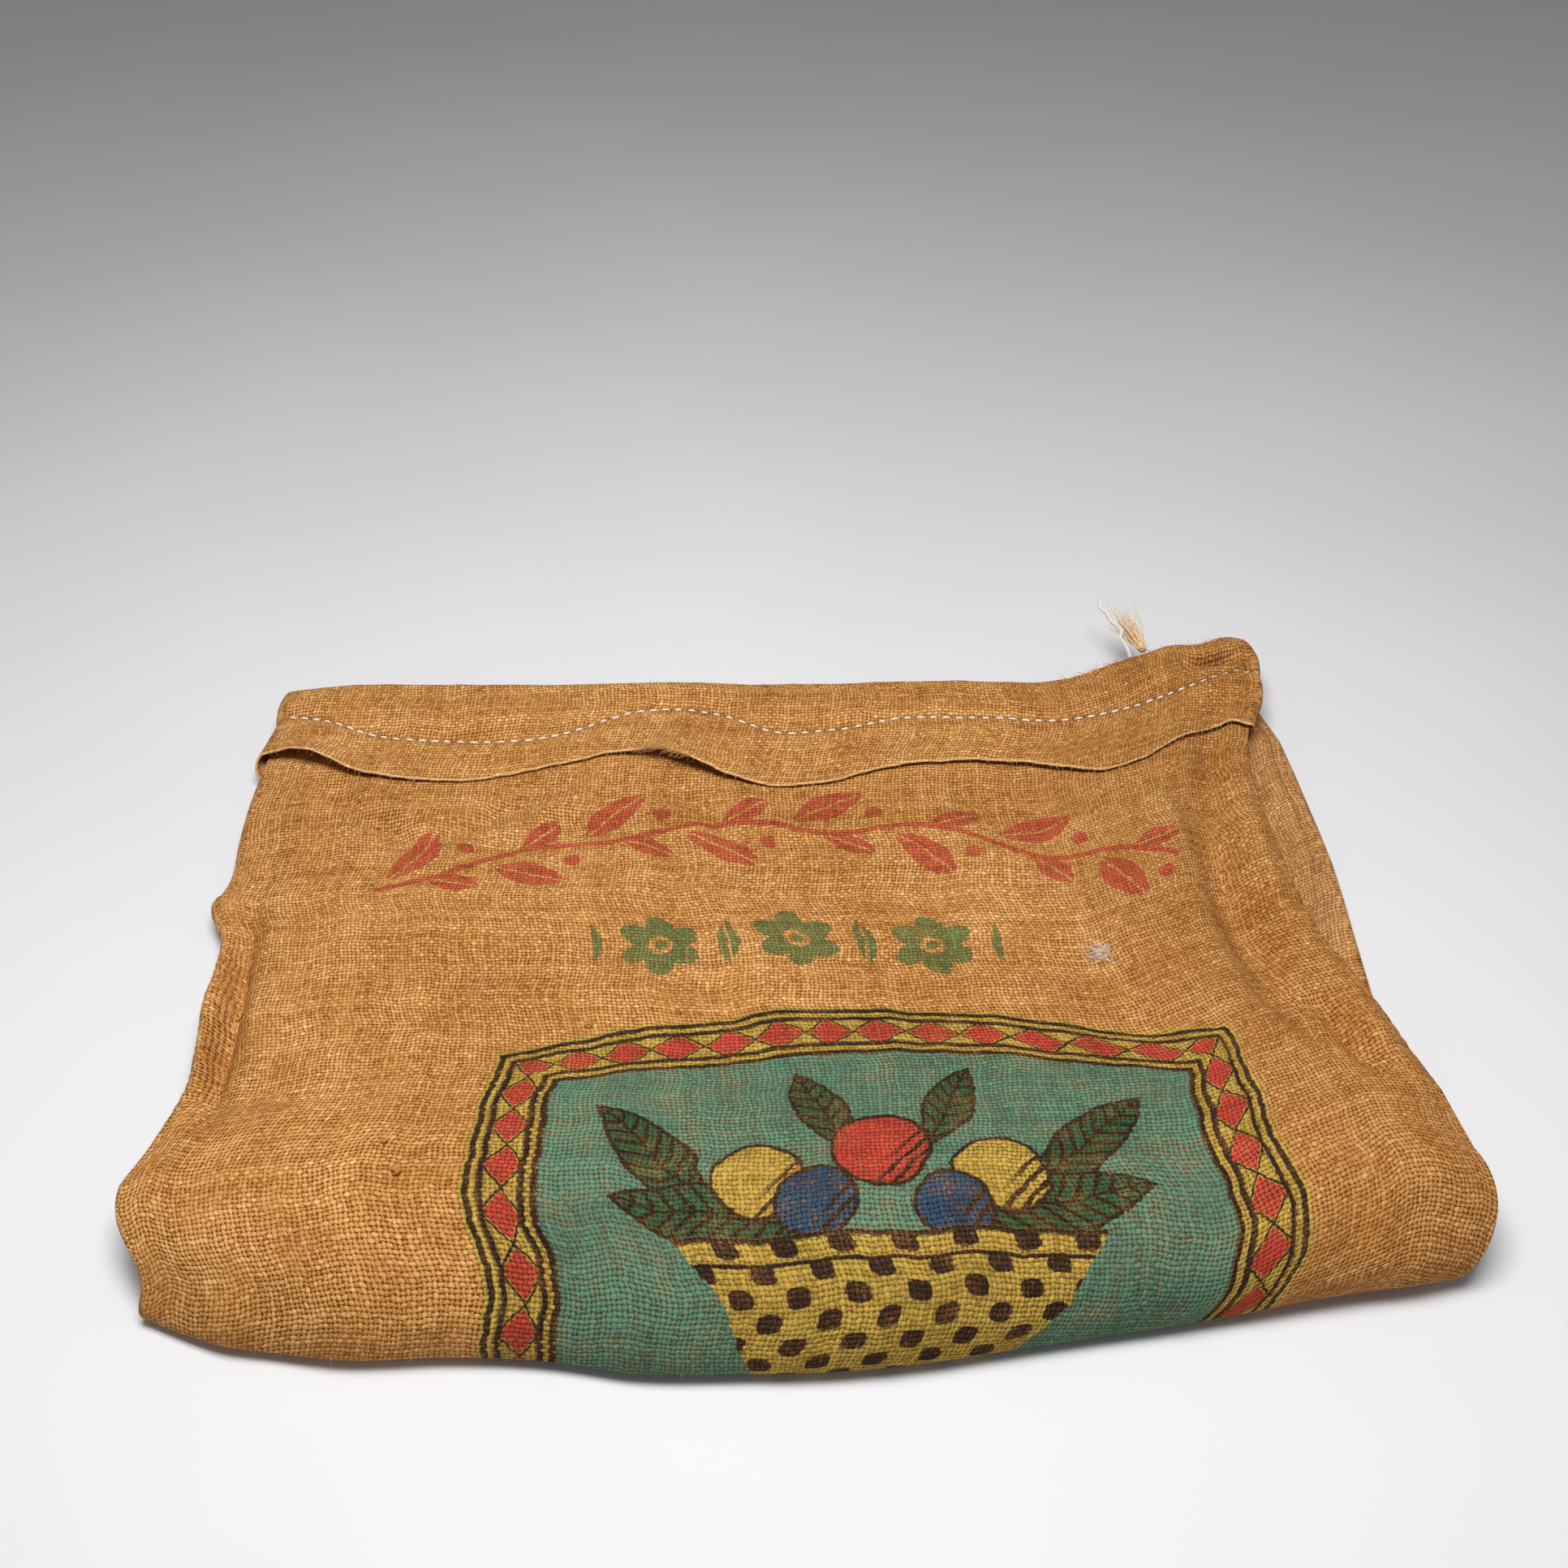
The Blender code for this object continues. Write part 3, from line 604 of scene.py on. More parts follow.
def panel(q, across, inner):
    """Points of the front panel, or of the back panel within it, at ways q and places across."""
    left, right = side_reach(q)
    x = left + (right - left) * (across + 1) / 2
    crest_left, crest_right = side_reach(1.0)
    crest_x = crest_left + (crest_right - crest_left) * (across + 1) / 2
    front, depth, crest = (smooth(ROLLS, "x", name, crest_x) for name in ("front", "depth", "height"))
    crest_y = front + depth
    mouth_y = smooth(MOUTHS, "x", "y", x) - HEM_BEND - CLOTH / 2
    top_gap, crest_gap, front_gap, low_gap = panel_gaps(q, across)

    way = np.clip(q, 0, 1)
    top_y = blend(mouth_y, crest_y, way)
    top_z = top_height(x, way, crest, np.minimum(x - left, right - x))
    top_z += fold_height(FOLDS, x, top_y) - inner * top_gap

    turn = np.clip(q - 1, 0, 1)
    reach = depth - inner * front_gap
    roll_y = crest_y - smooth(TURNS, "way", "forward", turn) * reach
    crest_z = crest + fold_height(FOLDS, crest_x, crest_y) - inner * crest_gap
    base_z = CLOTH / 2 + inner * low_gap
    roll_z = blend(base_z, crest_z, smooth(TURNS, "way", "up", turn))

    landing = crest_y - TURNS[-1].forward * reach
    end_y = END_Y + END_LEAN * ease((x - END_LEAN_START) / END_LEAN_WIDTH)
    low_y = blend(landing, end_y, np.clip(q - 2, 0, 1))

    y = np.where(q <= 1, top_y, np.where(q <= 2, roll_y, low_y))
    z = np.where(q <= 1, top_z, np.where(q <= 2, roll_z, base_z))
    return np.stack([x, y, z], axis=-1)


def ring_places():
    """Places round the tube: across, angle round the section and distance along the flat cloth."""
    half_steps = np.linspace(0.0, 1.0, FRONT_COLUMNS // 2 + 1)
    half = -1 + EVEN_COLUMNS * half_steps + (1 - EVEN_COLUMNS) * half_steps**COLUMN_CROWDING
    front = np.concatenate([half, -half[-2::-1]])
    back = np.cos(np.linspace(0.0, math.pi, BACK_COLUMNS + 1))
    cap_steps = np.linspace(0.0, 1.0, CAP_COLUMNS + 2)[1:-1]
    cap, cap_u = cap_steps * math.pi, cap_steps * EDGE_GAP
    places = np.concatenate([front, np.ones(len(cap)), back, -np.ones(len(cap))])
    angles = np.concatenate([np.zeros(len(front)), cap, np.full(len(back), math.pi), cap[::-1]])
    u = np.concatenate([
        front * HALF_WIDTH,
        HALF_WIDTH + cap_u,
        HALF_WIDTH + EDGE_GAP + (1 - back) * HALF_WIDTH,
        3 * HALF_WIDTH + EDGE_GAP + cap_u,
    ])
    return places, angles, u


def ring(q, places, angles, squeeze):
    """Points round the tube, and their outward directions. squeeze closes the panels together."""
    outer = panel(q, places, 0.0)
    inner = panel(q, places, 1.0)
    between = outer - inner
    gap = np.linalg.norm(between, axis=1, keepdims=True)
    sideways = np.zeros_like(outer)
    sideways[:, 0] = np.sign(places) * np.sin(angles)
    outward = between / gap * np.cos(angles)[:, None] + sideways
    return (outer + inner) / 2 + outward * gap / 2 * squeeze, outward


def hem_sizes(places, angles):
    """Distance of the sewing and of the raw edge from the mouth fold, and the lift, round the ring."""
    x = panel(np.zeros_like(places), places, 0.0)[:, 0]
    under = (1 - np.cos(angles)) / 2
    stitch = smooth(MOUTHS, "x", "stitch", x) * (1 - under) + BACK_STITCH * under
    edge = smooth(MOUTHS, "x", "hem", x) * (1 - under) + BACK_HEM * under
    lift = smooth(MOUTHS, "x", "lift", x) * (1 - under)
    for gap in HEM_GAPS:
        lift = lift + gap.lift * bell(x - gap.x, gap.width) * (1 - under)
    for wave in EDGE_WAVES:
        edge = edge + wave.height * np.sin(x * wave.rate + wave.phase)
    return stitch, edge, lift


def field(points, size, seed):
    """Smooth noise of about -1 to 1 at the points, with bumps of a size in metres."""
    shift = Vector((seed * 3.17, seed * 1.31, seed * 2.73))
    flat = points.reshape(-1, 3)
    values = [noise.noise(Vector(point) / size + shift) for point in flat]
    return np.array(values).reshape(points.shape[:-1])


def spot_weight(grid, spot):
    """1 at a spot, falling to 0 over its size."""
    return bell(np.linalg.norm(grid - np.array([spot.x, spot.y, spot.z]), axis=2), spot.size)


class Cloth:
    """The grid of the sack's visible face, with its way along and across the flat cloth."""

    def __init__(self):
        """Lays out every row from the hem's raw edge to the closed end."""
        self.places, self.angles, self.u = ring_places()
        self.stitch, self.edge, self.lift = hem_sizes(self.places, self.angles)
        mouth = panel(np.zeros_like(self.places), self.places, 0.0)[:, 1]
        crest = panel(np.ones_like(self.places), self.places, 0.0)[:, 1]
        self.length = mouth - crest
        self.specs = []
        self.plan_hem()
        self.plan_panels()
        self.build()
        self.measure()
        self.ripple()
        self.dress()

    def plan(self, q, side, height=0.0, along=0.0, squeeze=1.0):
        """One row: its way, which face of the cloth shows, and its offsets out and along."""
        row = [np.broadcast_to(value, self.places.shape) for value in (q, side, height, along, squeeze)]
        self.specs.append(row)

    def plan_hem_row(self, distance, height, side=-1.0):
        """A row of the hem at a distance from the mouth fold, drawn down by the sewing."""
        near = bell(distance - self.stitch, STITCH_DENT_WIDTH)
        self.plan(distance / self.length, side, height - STITCH_DENT * near)

    def plan_hem(self):
        """The hem from its raw edge to the mouth fold, and round that fold."""
        for raw in RAW_ROWS:
            self.plan_hem_row(self.edge + raw.past, HEM_PINCH + self.lift - raw.drop, 0.0)
        for t in np.linspace(1.0, 0.0, HEM_OUTER_ROWS + 1):
            height = HEM_PINCH + self.lift * t**LIFT_FADE + HEM_SWELL * math.sin(math.pi * t)
            self.plan_hem_row(blend(self.stitch, self.edge, t), height)
        self.stitch_row = len(self.specs) - 1
        for t in np.linspace(1.0, 0.0, HEM_INNER_ROWS + 1)[1:-1]:
            height = blend(2 * HEM_BEND, HEM_PINCH, ease(t)) + HEM_PUFF * math.sin(math.pi * t)
            self.plan_hem_row(self.stitch * t, height)
        for step in range(BEND_ROWS, 0, -1):
            turn = math.pi * step / BEND_ROWS
            self.plan(0.0, -1.0, HEM_BEND * (1 - math.cos(turn)), HEM_BEND * math.sin(turn))
        self.fold_row = len(self.specs)

    def plan_panels(self):
        """The upper half, the puffed fold, the half on the surface and the closed end."""
        start = self.edge / self.length
        for t in np.linspace(0.0, 1.0, UNDER_ROWS + 1):
            self.plan(start * t, -1.0 + 2.0 * float(ease(t * UNDER_TURN)))
        self.open_row = len(self.specs)
        for t in np.linspace(0.0, 1.0, TOP_ROWS + 1)[1:]:
            self.plan(blend(start, 1.0, t), 1.0)
        for first, rows in ((1, ROLL_ROWS), (2, LOW_ROWS)):
            for row in range(1, rows + 1):
                self.plan(first + row / rows, 1.0)
        for row in range(1, END_ROWS + 1):
            turn = math.pi / 2 * row / END_ROWS
            self.plan(3.0, 1.0, 0.0, LOW_GAP / 2 * math.sin(turn), math.cos(turn) + END_SQUEEZE)

    def build(self):
        """Works out the whole grid at once."""
        table = np.array(self.specs)
        shape = table.shape[0], table.shape[2]
        q, side, height, along, squeeze = (table[:, number].ravel() for number in range(5))
        places = np.tile(self.places, shape[0])
        angles = np.tile(self.angles, shape[0])
        base, outward = ring(q, places, angles, squeeze[:, None])
        base = base + outward * height[:, None]
        base[:, 1] += along
        self.grid = base.reshape(*shape, 3)
        self.q = q.reshape(shape)
        self.side = side.reshape(shape)

    def measure(self):
        """Way along the flat cloth: 0 at the mouth fold, negative on the hem."""
        steps = np.linalg.norm(np.diff(self.grid, axis=0), axis=2)
        way = np.concatenate([np.zeros((1, steps.shape[1])), np.cumsum(steps, axis=0)])
        way = way - way[self.fold_row]
        from_end = np.median(way[-1]) + way - way[-1]
        share = ease((self.q - END_MEASURE_START) / END_MEASURE_SPAN) * (1 - np.cos(self.angles)) / 2
        self.v = blend(way, from_end, share)

    def normals(self):
        """Outward directions of the tube at each point of the grid."""
        along = np.gradient(self.grid, axis=0)
        round_it = np.roll(self.grid, -1, axis=1) - np.roll(self.grid, 1, axis=1)
        normal = np.cross(along, round_it)
        size = np.linalg.norm(normal, axis=2, keepdims=True)
        return normal / np.maximum(size, 1e-12)

    def ripple(self):
        """Lays the small folds on the cloth; layers that touch move together."""
        grid = self.grid
        turn = np.clip(self.q - 1, 0, 1)
        swing = turn * RIPPLE_TURN
        heading = np.stack([np.zeros_like(turn), -np.sin(swing), np.cos(swing)], axis=-1)
        fade = 1 - ease((turn - RIPPLE_FADE_START) / RIPPLE_FADE_SPAN)
        soft = sum(ripple.height * field(grid, ripple.size, seed) for seed, ripple in enumerate(RIPPLES, 1))
        creases = fold_height(CREASES, grid[..., 0], grid[..., 1]) * (1 - ease(turn * 2))
        dents = sum(dent.depth * spot_weight(grid, dent) for dent in DENTS)
        self.grid = grid + heading * (soft * fade + creases - dents)[..., None]
        for push in PUSHES:
            shift = np.array([push.dx, push.dy, push.dz])
            self.grid = self.grid + spot_weight(grid, push)[..., None] * shift

    def dress(self):
        """Moves the grid from the middle of the cloth to its visible face."""
        self.grid = self.grid + self.normals() * SKIN * self.side[..., None]
        self.grid[..., 2] = np.maximum(self.grid[..., 2], LEAST_HEIGHT)
        self.grid = self.grid + PART_SHIFT

    def at(self, row, column):
        """A point and the outward direction at a place between rows and columns."""
        r = min(int(row), len(self.grid) - 2)
        c = int(column)
        low, high = self.grid[r:r + 2].take((c, c + 1), axis=1, mode="wrap")
        a, b = row - r, column - c
        across = (low[1] - low[0]) * (1 - a) + (high[1] - high[0]) * a
        low, high = (ends[0] * (1 - b) + ends[1] * b for ends in (low, high))
        return low * (1 - a) + high * a, unit(np.cross(high - low, across))

    def cell_near(self, x, y, rows_past=0):
        """Row and column of the upper half's front panel nearest to a place in plan."""
        last = self.open_row + TOP_ROWS + rows_past
        front = self.grid[self.open_row:last, :FRONT_COLUMNS + 1]
        away = np.hypot(front[..., 0] - x, front[..., 1] - y)
        r, c = np.unravel_index(np.argmin(away), away.shape)
        return self.open_row + r, c


# ---- shader arithmetic
class Value:
    """An output in a node tree; arithmetic on it adds Math nodes."""

    def __init__(self, tree, socket):
        self.tree = tree
        self.socket = socket

    def maths(self, operation, *others):
        """A Math node of this value and others."""
        return add_node(self.tree, "ShaderNodeMath", (self, *others), operation=operation)

    __rsub__ = partialmethod(maths, "MULTIPLY_ADD", -1.0)
    __neg__ = partialmethod(maths, "MULTIPLY", -1.0)

    def ramp(self, low, high, start=0.0, stop=1.0):
        """A smooth step of this value from start to stop as it goes from low to high."""
        inputs = (self, low, high, start, stop)
        return add_node(self.tree, "ShaderNodeMapRange", inputs, interpolation_type="SMOOTHSTEP")


OPERATIONS = {
    "__add__": "ADD",
    "__radd__": "ADD",
    "__sub__": "SUBTRACT",
    "__mul__": "MULTIPLY",
    "__rmul__": "MULTIPLY",
    "__truediv__": "DIVIDE",
    "abs": "ABSOLUTE",
    "floor": "FLOOR",
    "fract": "FRACT",
    "sin": "SINE",
    "cos": "COSINE",
    "sqrt": "SQRT",
    "least": "MINIMUM",
    "most": "MAXIMUM",
    "above": "GREATER_THAN",
    "power": "POWER",
    "angle_to": "ARCTAN2",
}
for method, operation in OPERATIONS.items():
    setattr(Value, method, partialmethod(Value.maths, operation))


def add_node(tree, kind, inputs, output=0, **settings):
    """A new node's output. Its inputs are in order or by name: numbers, colours or Values."""
    node = tree.nodes.new(kind)
    for name, setting in settings.items():
        setattr(node, name, setting)
    for place, value in inputs.items() if isinstance(inputs, dict) else enumerate(inputs):
        if isinstance(value, Value):
            tree.links.new(value.socket, node.inputs[place])
        else:
            node.inputs[place].default_value = value
    return Value(tree, node.outputs[output])


def length_of(a, b):
    """Distance of (a, b) from zero."""
    return (a * a + b * b).sqrt()


def vector(a, b):
    """A flat vector of two values."""
    return add_node(a.tree, "ShaderNodeCombineXYZ", (a, b))


def cloud(where, scale, detail=2.0, roughness=0.5):
    """Noise of 0 to 1 at a vector."""
    inputs = {"Vector": where, "Scale": scale, "Detail": detail, "Roughness": roughness}
    return add_node(where.tree, "ShaderNodeTexNoise", inputs, noise_dimensions="2D")


def chance(number):
    """A random number of 0 to 1 for each whole number."""
    return add_node(number.tree, "ShaderNodeTexWhiteNoise", {"W": number}, "Value", noise_dimensions="1D")


def mixed(share, a, b):
    """Colour a, turned to b by a share."""
    return add_node(share.tree, "ShaderNodeMix", {0: share, 6: a, 7: b}, 2, data_type="RGBA")


def scaled(colour, factor):
    """A colour times a value."""
    return add_node(factor.tree, "ShaderNodeVectorMath", {0: colour, "Scale": factor}, operation="SCALE")


def shaded(value, stops):
    """A colour for each value, along stops of (place, colour)."""
    shade = add_node(value.tree, "ShaderNodeValToRGB", (value,))
    elements = shade.socket.node.color_ramp.elements
    while len(elements) < len(stops):
        elements.new(0.5)
    for element, (place, colour) in zip(elements, stops):
        element.position = place
        element.color = colour
    return shade


def two_of(source):
    """The first two numbers of a vector."""
    node = add_node(source.tree, "ShaderNodeSeparateXYZ", (source,)).socket.node
    return Value(source.tree, node.outputs[0]), Value(source.tree, node.outputs[1])


def map_place(tree, name):
    """A UV map's two numbers at a place."""
    return two_of(add_node(tree, "ShaderNodeUVMap", (), uv_map=name))


def stroke(away, core, edge):
    """1 on a line and 0 off it, by the distance from its middle."""
    return away.abs().ramp(core, edge, 1.0, 0.0)


def filled(depth):
    """1 inside an outline and 0 outside it, by the depth within it."""
    return depth.ramp(-INK_EDGE, INK_EDGE)


def fresh_material(name):
    """A material with a Principled shader, and its tree."""
    material = bpy.data.materials.new(name)
    material.use_nodes = True
    return material, material.node_tree


def finish_shader(tree, colour, height, finish):
    """Gives a shader its colour, gloss and relief."""
    shader = tree.nodes["Principled BSDF"]
    inputs = {"Strength": finish.strength, "Distance": finish.distance, "Height": height}
    relief = add_node(tree, "ShaderNodeBump", inputs)
    tree.links.new(colour.socket, shader.inputs["Base Color"])
    tree.links.new(relief.socket, shader.inputs["Normal"])
    shader.inputs["Roughness"].default_value = finish.roughness
    shader.inputs["Specular IOR Level"].default_value = finish.gloss


# ---- the burlap
def wandered(across, along, wanders):
    """A way across the threads, with their slight wander."""
    place = across
    for wander in wanders:
        where = vector(across * wander.stretch, along + wander.shift)
        place = place + (cloud(where, wander.scale, wander.detail) - 0.5) * wander.reach
    return place


Thread = namedtuple("Thread", "number aside chance slub round")
Woven = namedtuple("Woven", "height weft_top tone slub")


def threads(yarn, across, along):
    """One set of threads: each one's number, and its own chance, slubs and rounded section."""
    jitter = (cloud(vector(across, along), yarn.grain) - 0.5) * YARN_JITTER
    place = (across + jitter) / yarn.pitch
    number = place.floor()
    own = chance(number + yarn.seed)
    slub = cloud(vector(along * yarn.slubs, number * yarn.stride), 1.0, 3.0)
    aside = place - number - 0.5
    half = own * yarn.by_chance + slub * yarn.by_slub + yarn.half
    return Thread(number, aside, own, slub, (1.0 - (aside / half).power(2.0)).most(0.0).sqrt())


def weave(u, v):
    """The weave's height, which thread is on top, and that thread's own tone and slub."""
    warp, weft = threads(WARP, u, v), threads(WEFT, v, u)
    over = ((warp.number + weft.number) * 0.5).fract() * 4.0 - 1.0
    warp_height = warp.round * (over * (weft.aside * math.pi).cos() * YARN_WAVE + WARP.rise)
    weft_height = weft.round * (over * (warp.aside * math.pi).cos() * -YARN_WAVE + WEFT.rise)
    weft_top = weft_height.above(warp_height)
    tone = blend(warp.chance, weft.chance, weft_top)
    return Woven(warp_height.most(weft_height), weft_top, tone, blend(warp.slub, weft.slub, weft_top))


def leaf_shape(x, y, leaf):
    """A pointed leaf: the way along its axis, the distance aside and the depth within its outline."""
    x, y = x - leaf.x, y - leaf.y
    along = x * math.cos(leaf.turn) + y * math.sin(leaf.turn)
    aside = (y * math.cos(leaf.turn) - x * math.sin(leaf.turn)).abs()
    return along, aside, (1.0 - (along / leaf.reach).power(2.0)) * leaf.width - aside


def open_leaf(x, y, leaf):
    """A plain leaf with its middle vein left open."""
    along, aside, depth = leaf_shape(x, y, leaf)
    return filled(depth) * aside.ramp(*VEIN)


def disc(x, y, radius):
    """A filled circle."""
    return filled(radius - length_of(x, y))


def garland(u, v):
    """A leafy garland on a shallow arc under the hem."""
    x = u - PRINT_MIDDLE
    y = v - GARLAND_TOP - GARLAND_BEND
    along = x.angle_to(-y) * GARLAND_BEND
    rise = GARLAND_BEND - length_of(x, y)
    number = (along / GARLAND_CELL).floor()
    local = (along / GARLAND_CELL - number - 0.5) * GARLAND_CELL
    lifted = rise * ((number * 0.5).fract() * 4.0 - 1.0)
    wave = (along * (math.pi / GARLAND_CELL)).sin() * GARLAND_WAVE
    berry_x, berry_y, berry_radius = GARLAND_BERRY
    ink = stroke(rise - wave, *GARLAND_VINE).most(disc(local - berry_x, lifted - berry_y, berry_radius))
    for leaf in GARLAND_LEAVES:
        ink = ink.most(open_leaf(local, lifted, leaf))
    return ink * stroke(along, *GARLAND_END)


def rosettes(u, v):
    """Three open rosettes and the small leaves between them."""
    step = (u - PRINT_MIDDLE) / ROSETTE_CELL + 0.5
    number = step.floor()
    x = (step - number - 0.5) * ROSETTE_CELL
    y = v - ROSETTE_TOP - number.abs() * ROSETTE_DROP
    radius = length_of(x, y)
    rim = (x.angle_to(y) * 3.0).cos().abs() * PETAL_REACH + PETAL_BASE
    flower = filled(rim - radius) * radius.ramp(*ROSETTE_CORE)
    ink = flower.most(disc(x, y, ROSETTE_DOT)).most(open_leaf(x.abs(), y, SPRIG))
    return ink * stroke(number, 1.2, 1.4)


def add_leaf(base, x, y, leaf):
    """A ribbed and outlined leaf laid on a picture."""
    along, aside, depth = leaf_shape(x, y, leaf)
    base = mixed(filled(depth), base, INK_LEAF)
    ribs = ((along + aside * 0.9) * 820.0).sin().ramp(0.35, 0.8)
    lines = ribs.most(stroke(aside, *VEIN)) * depth.above(0.0)
    return mixed(lines.most(stroke(depth, 0.0006, 0.0013)), base, INK_LINE)


def add_fruit(base, x, y, fruit):
    """A round fruit with a hatched shadow laid on a picture."""
    x, y = x - fruit.x, y - fruit.y
    away = length_of(x, y * 1.06)
    hatch = ((x + y) * 900.0).sin().ramp(0.1, 0.5)
    shade = hatch * (x + y * 0.6).ramp(fruit.radius * 0.15, fruit.radius * 0.55)
    base = mixed(filled(fruit.radius - away), base, fruit.ink)
    dark = shade * stroke(away, fruit.radius - 0.001, fruit.radius)
    return mixed(dark.most(stroke(away - fruit.radius, 0.0006, 0.0014)), base, INK_LINE)


def add_bowl(base, x, y):
    """A woven bowl that narrows downward laid on a picture."""
    depth = y - BOWL_TOP
    area = filled(BOWL_HALF - depth * BOWL_TAPER - x.abs()) * filled(depth)
    cane = ((x * 260.0).sin() * (depth * 330.0).sin()).ramp(0.18, 0.34)
    rims = stroke(depth - 0.001, 0.0008, 0.0016).most(stroke(depth - 0.011, 0.0006, 0.0013))
    return mixed(area * cane.most(rims), mixed(area, base, INK_GOLD), INK_LINE)


def framed(x, y, picture):
    """A picture in a gold band of red lozenges between dark lines: its colour and its area."""
    sideways = (PANEL_RIGHT - PANEL_LEFT) / 2 - x.abs()
    downward = y - x.power(2.0) * PANEL_ARCH
    depth = sideways.least(downward)
    on_top = sideways.above(downward)
    run = x * on_top + y * (1.0 - on_top)
    tooth = ((run / LOZENGE).fract() - 0.5).abs() * 2.0
    lozenge = tooth + (depth - PANEL_RIM * 0.5).abs() / (PANEL_RIM * 0.30)
    band = depth.above(0.0) * (PANEL_RIM - depth).above(0.0)
    lines = stroke(lozenge - 1.0, 0.04, 0.10) * band
    for place in FRAME_LINES:
        lines = lines.most(stroke(depth - place, *FRAME_LINE))
    area = depth.above(-PANEL_BLEED)
    colour = mixed(band * stroke(lozenge, 0.84, 0.92), INK_GOLD, INK_RED)
    colour = mixed((depth - PANEL_RIM).above(0.0), colour, picture)
    return mixed(lines * area, colour, INK_LINE), area


def picture_panel(u, v):
    """A framed panel that holds a bowl of fruit between leaves: its colour and its area."""
    x = u - (PANEL_LEFT + PANEL_RIGHT) / 2
    y = v - PANEL_TOP
    picture = INK_TEAL
    for leaf in LEAVES:
        picture = add_leaf(picture, x, y, leaf)
    for fruit in FRUITS:
        picture = add_fruit(picture, x, y, fruit)
    return framed(x, y, add_bowl(picture, x, y))


def thread_tone_and_shade(u, v, woven, fibre, patches):
    """How light the threads are at a place: their own tone, with painted shade in the gaps and a painted
    highlight on the thread tops, both by the weave's height.
    """
    clear = cloud(vector(u + CLEAR_SHIFT, v), *CLEAR_NOISE).ramp(*CLEAR_RAMP)
    # painted shade and painted highlight by the weave's height
    body = woven.height.ramp(0.0, BODY_TOP) * THREAD_TONE_AND_SHADE.body + woven.height * THREAD_TONE_AND_SHADE.height - THREAD_TONE_AND_SHADE.drop
    light = body * clear + (fibre - 0.5) * THREAD_TONE_AND_SHADE.fibre + (woven.tone - 0.5) * THREAD_TONE_AND_SHADE.tone
    light = light + (woven.slub - 0.5) * THREAD_TONE_AND_SHADE.slub + (patches - 0.5) * THREAD_TONE_AND_SHADE.patch
    return light + woven.weft_top * THREAD_TONE_AND_SHADE.weft + THREAD_TONE_AND_SHADE.base


def printed(u, v, woven, fibre, light, thread):
    """The worn prints on the threads: each takes the ink a little differently."""
    print_u = u + (woven.tone - 0.5) * WARP_BLEED
    print_v = v + (woven.slub - 0.5) * WEFT_BLEED
    red, green = garland(print_u, print_v), rosettes(print_u, print_v)
    picture, panel_area = picture_panel(print_u, print_v)
    ink = mixed(green, mixed(red, picture, INK_RED), INK_GREEN)
    area = red.most(green).most(panel_area) * (HALF_WIDTH - u.abs()).above(0.0) * v.above(0.0)
    wear = (cloud(vector(u, v), *WEAR_NOISE) - 0.5) * WEAR.patch
    wear = wear + (fibre - 0.5) * WEAR.fibre + (woven.slub - 0.5) * WEAR.slub
    cover = wear.ramp(*WEAR_RAMP) * WEAR.span + WEAR.least
    thin = red.most(green) * (1.0 - panel_area) * (WEAR.thin + (1.0 - woven.height) * WEAR.sunk)
    # painted shade and painted highlight: the ink follows the threads' lightness
    inked = scaled(ink, light.ramp(*INK_TONE_AND_SHADE))
    return mixed(area * (cover * (1.0 - thin)), thread, inked)


def banded(surface, away, band):
    """A surface toned along a line."""
    return mixed(stroke(away, band.core, band.edge) * band.share, surface, band.tone)


def edged(tree, u, v, surface):
    """The raw edge lightened by a painted highlight, the darker sewing and side seam, and the plainer back,
    and the seam.
    """
    from_edge, from_sewing = map_place(tree, "hem")
    # painted highlight along the raw edge
    surface = banded(surface, from_edge, RAW_EDGE_HIGHLIGHT_BAND)
    surface = banded(surface, from_sewing, SEWN_BAND)
    surface = mixed(u.above(HALF_WIDTH + EDGE_GAP / 2) * BACK_SHARE, surface, BACK_SHADE)
    from_seam = u - SEAM_FROM - v.ramp(*SEAM_SHIFT)
    return banded(surface, from_seam - SEAM_SIDE, SEAM_EDGE), stroke(from_seam, *SEAM_RIDGE)


def burlap_material():
    """Plain-woven jute with its worn prints."""
    material, tree = fresh_material("burlap")
    across, along = map_place(tree, "cloth")
    u = wandered(across, along, WARP_WANDERS)
    v = wandered(along, across, WEFT_WANDERS)
    woven = weave(u, v)
    turned = woven.weft_top * 1.5
    fibre = cloud(vector(u * 2.4 - u * turned, v * 0.9 + v * turned), *FIBRE_NOISE)
    patches = cloud(vector(u, v), *PATCH_NOISE)
    light = thread_tone_and_shade(u, v, woven, fibre, patches)
    # painted shade darkening the right part of the front panel
    right_side_shade = u.ramp(*RIGHT_SIDE_SHADE_FROM) * (HALF_WIDTH + EDGE_GAP / 2 - u).above(0.0)
    thread = mixed(right_side_shade * (patches * RIGHT_SIDE_SHADE_PATCHES + RIGHT_SIDE_SHADE_SHARE), shaded(light, THREAD_STOPS), RIGHT_SIDE_SHADE)
    surface = printed(u, v, woven, fibre, light, thread)
    surface, seam = edged(tree, u, v, surface)
    height = woven.height + fibre * FIBRE_RELIEF + seam * SEAM_RELIEF
    finish_shader(tree, surface, height, BURLAP_FINISH)
    return material


def fibre_material(name, fibre):
    """Loose fibre or sewing thread, with a fine twist."""
    material, tree = fresh_material(name)
    where = add_node(tree, "ShaderNodeTexCoord", (), "Object")
    tone = add_node(tree, "ShaderNodeTexNoise", {"Vector": where, "Scale": fibre.twist, "Detail": 3.0})
    finish_shader(tree, mixed(tone.ramp(0.3, 0.7), fibre.dark, fibre.pale), tone, FIBRE_FINISH)
    return material


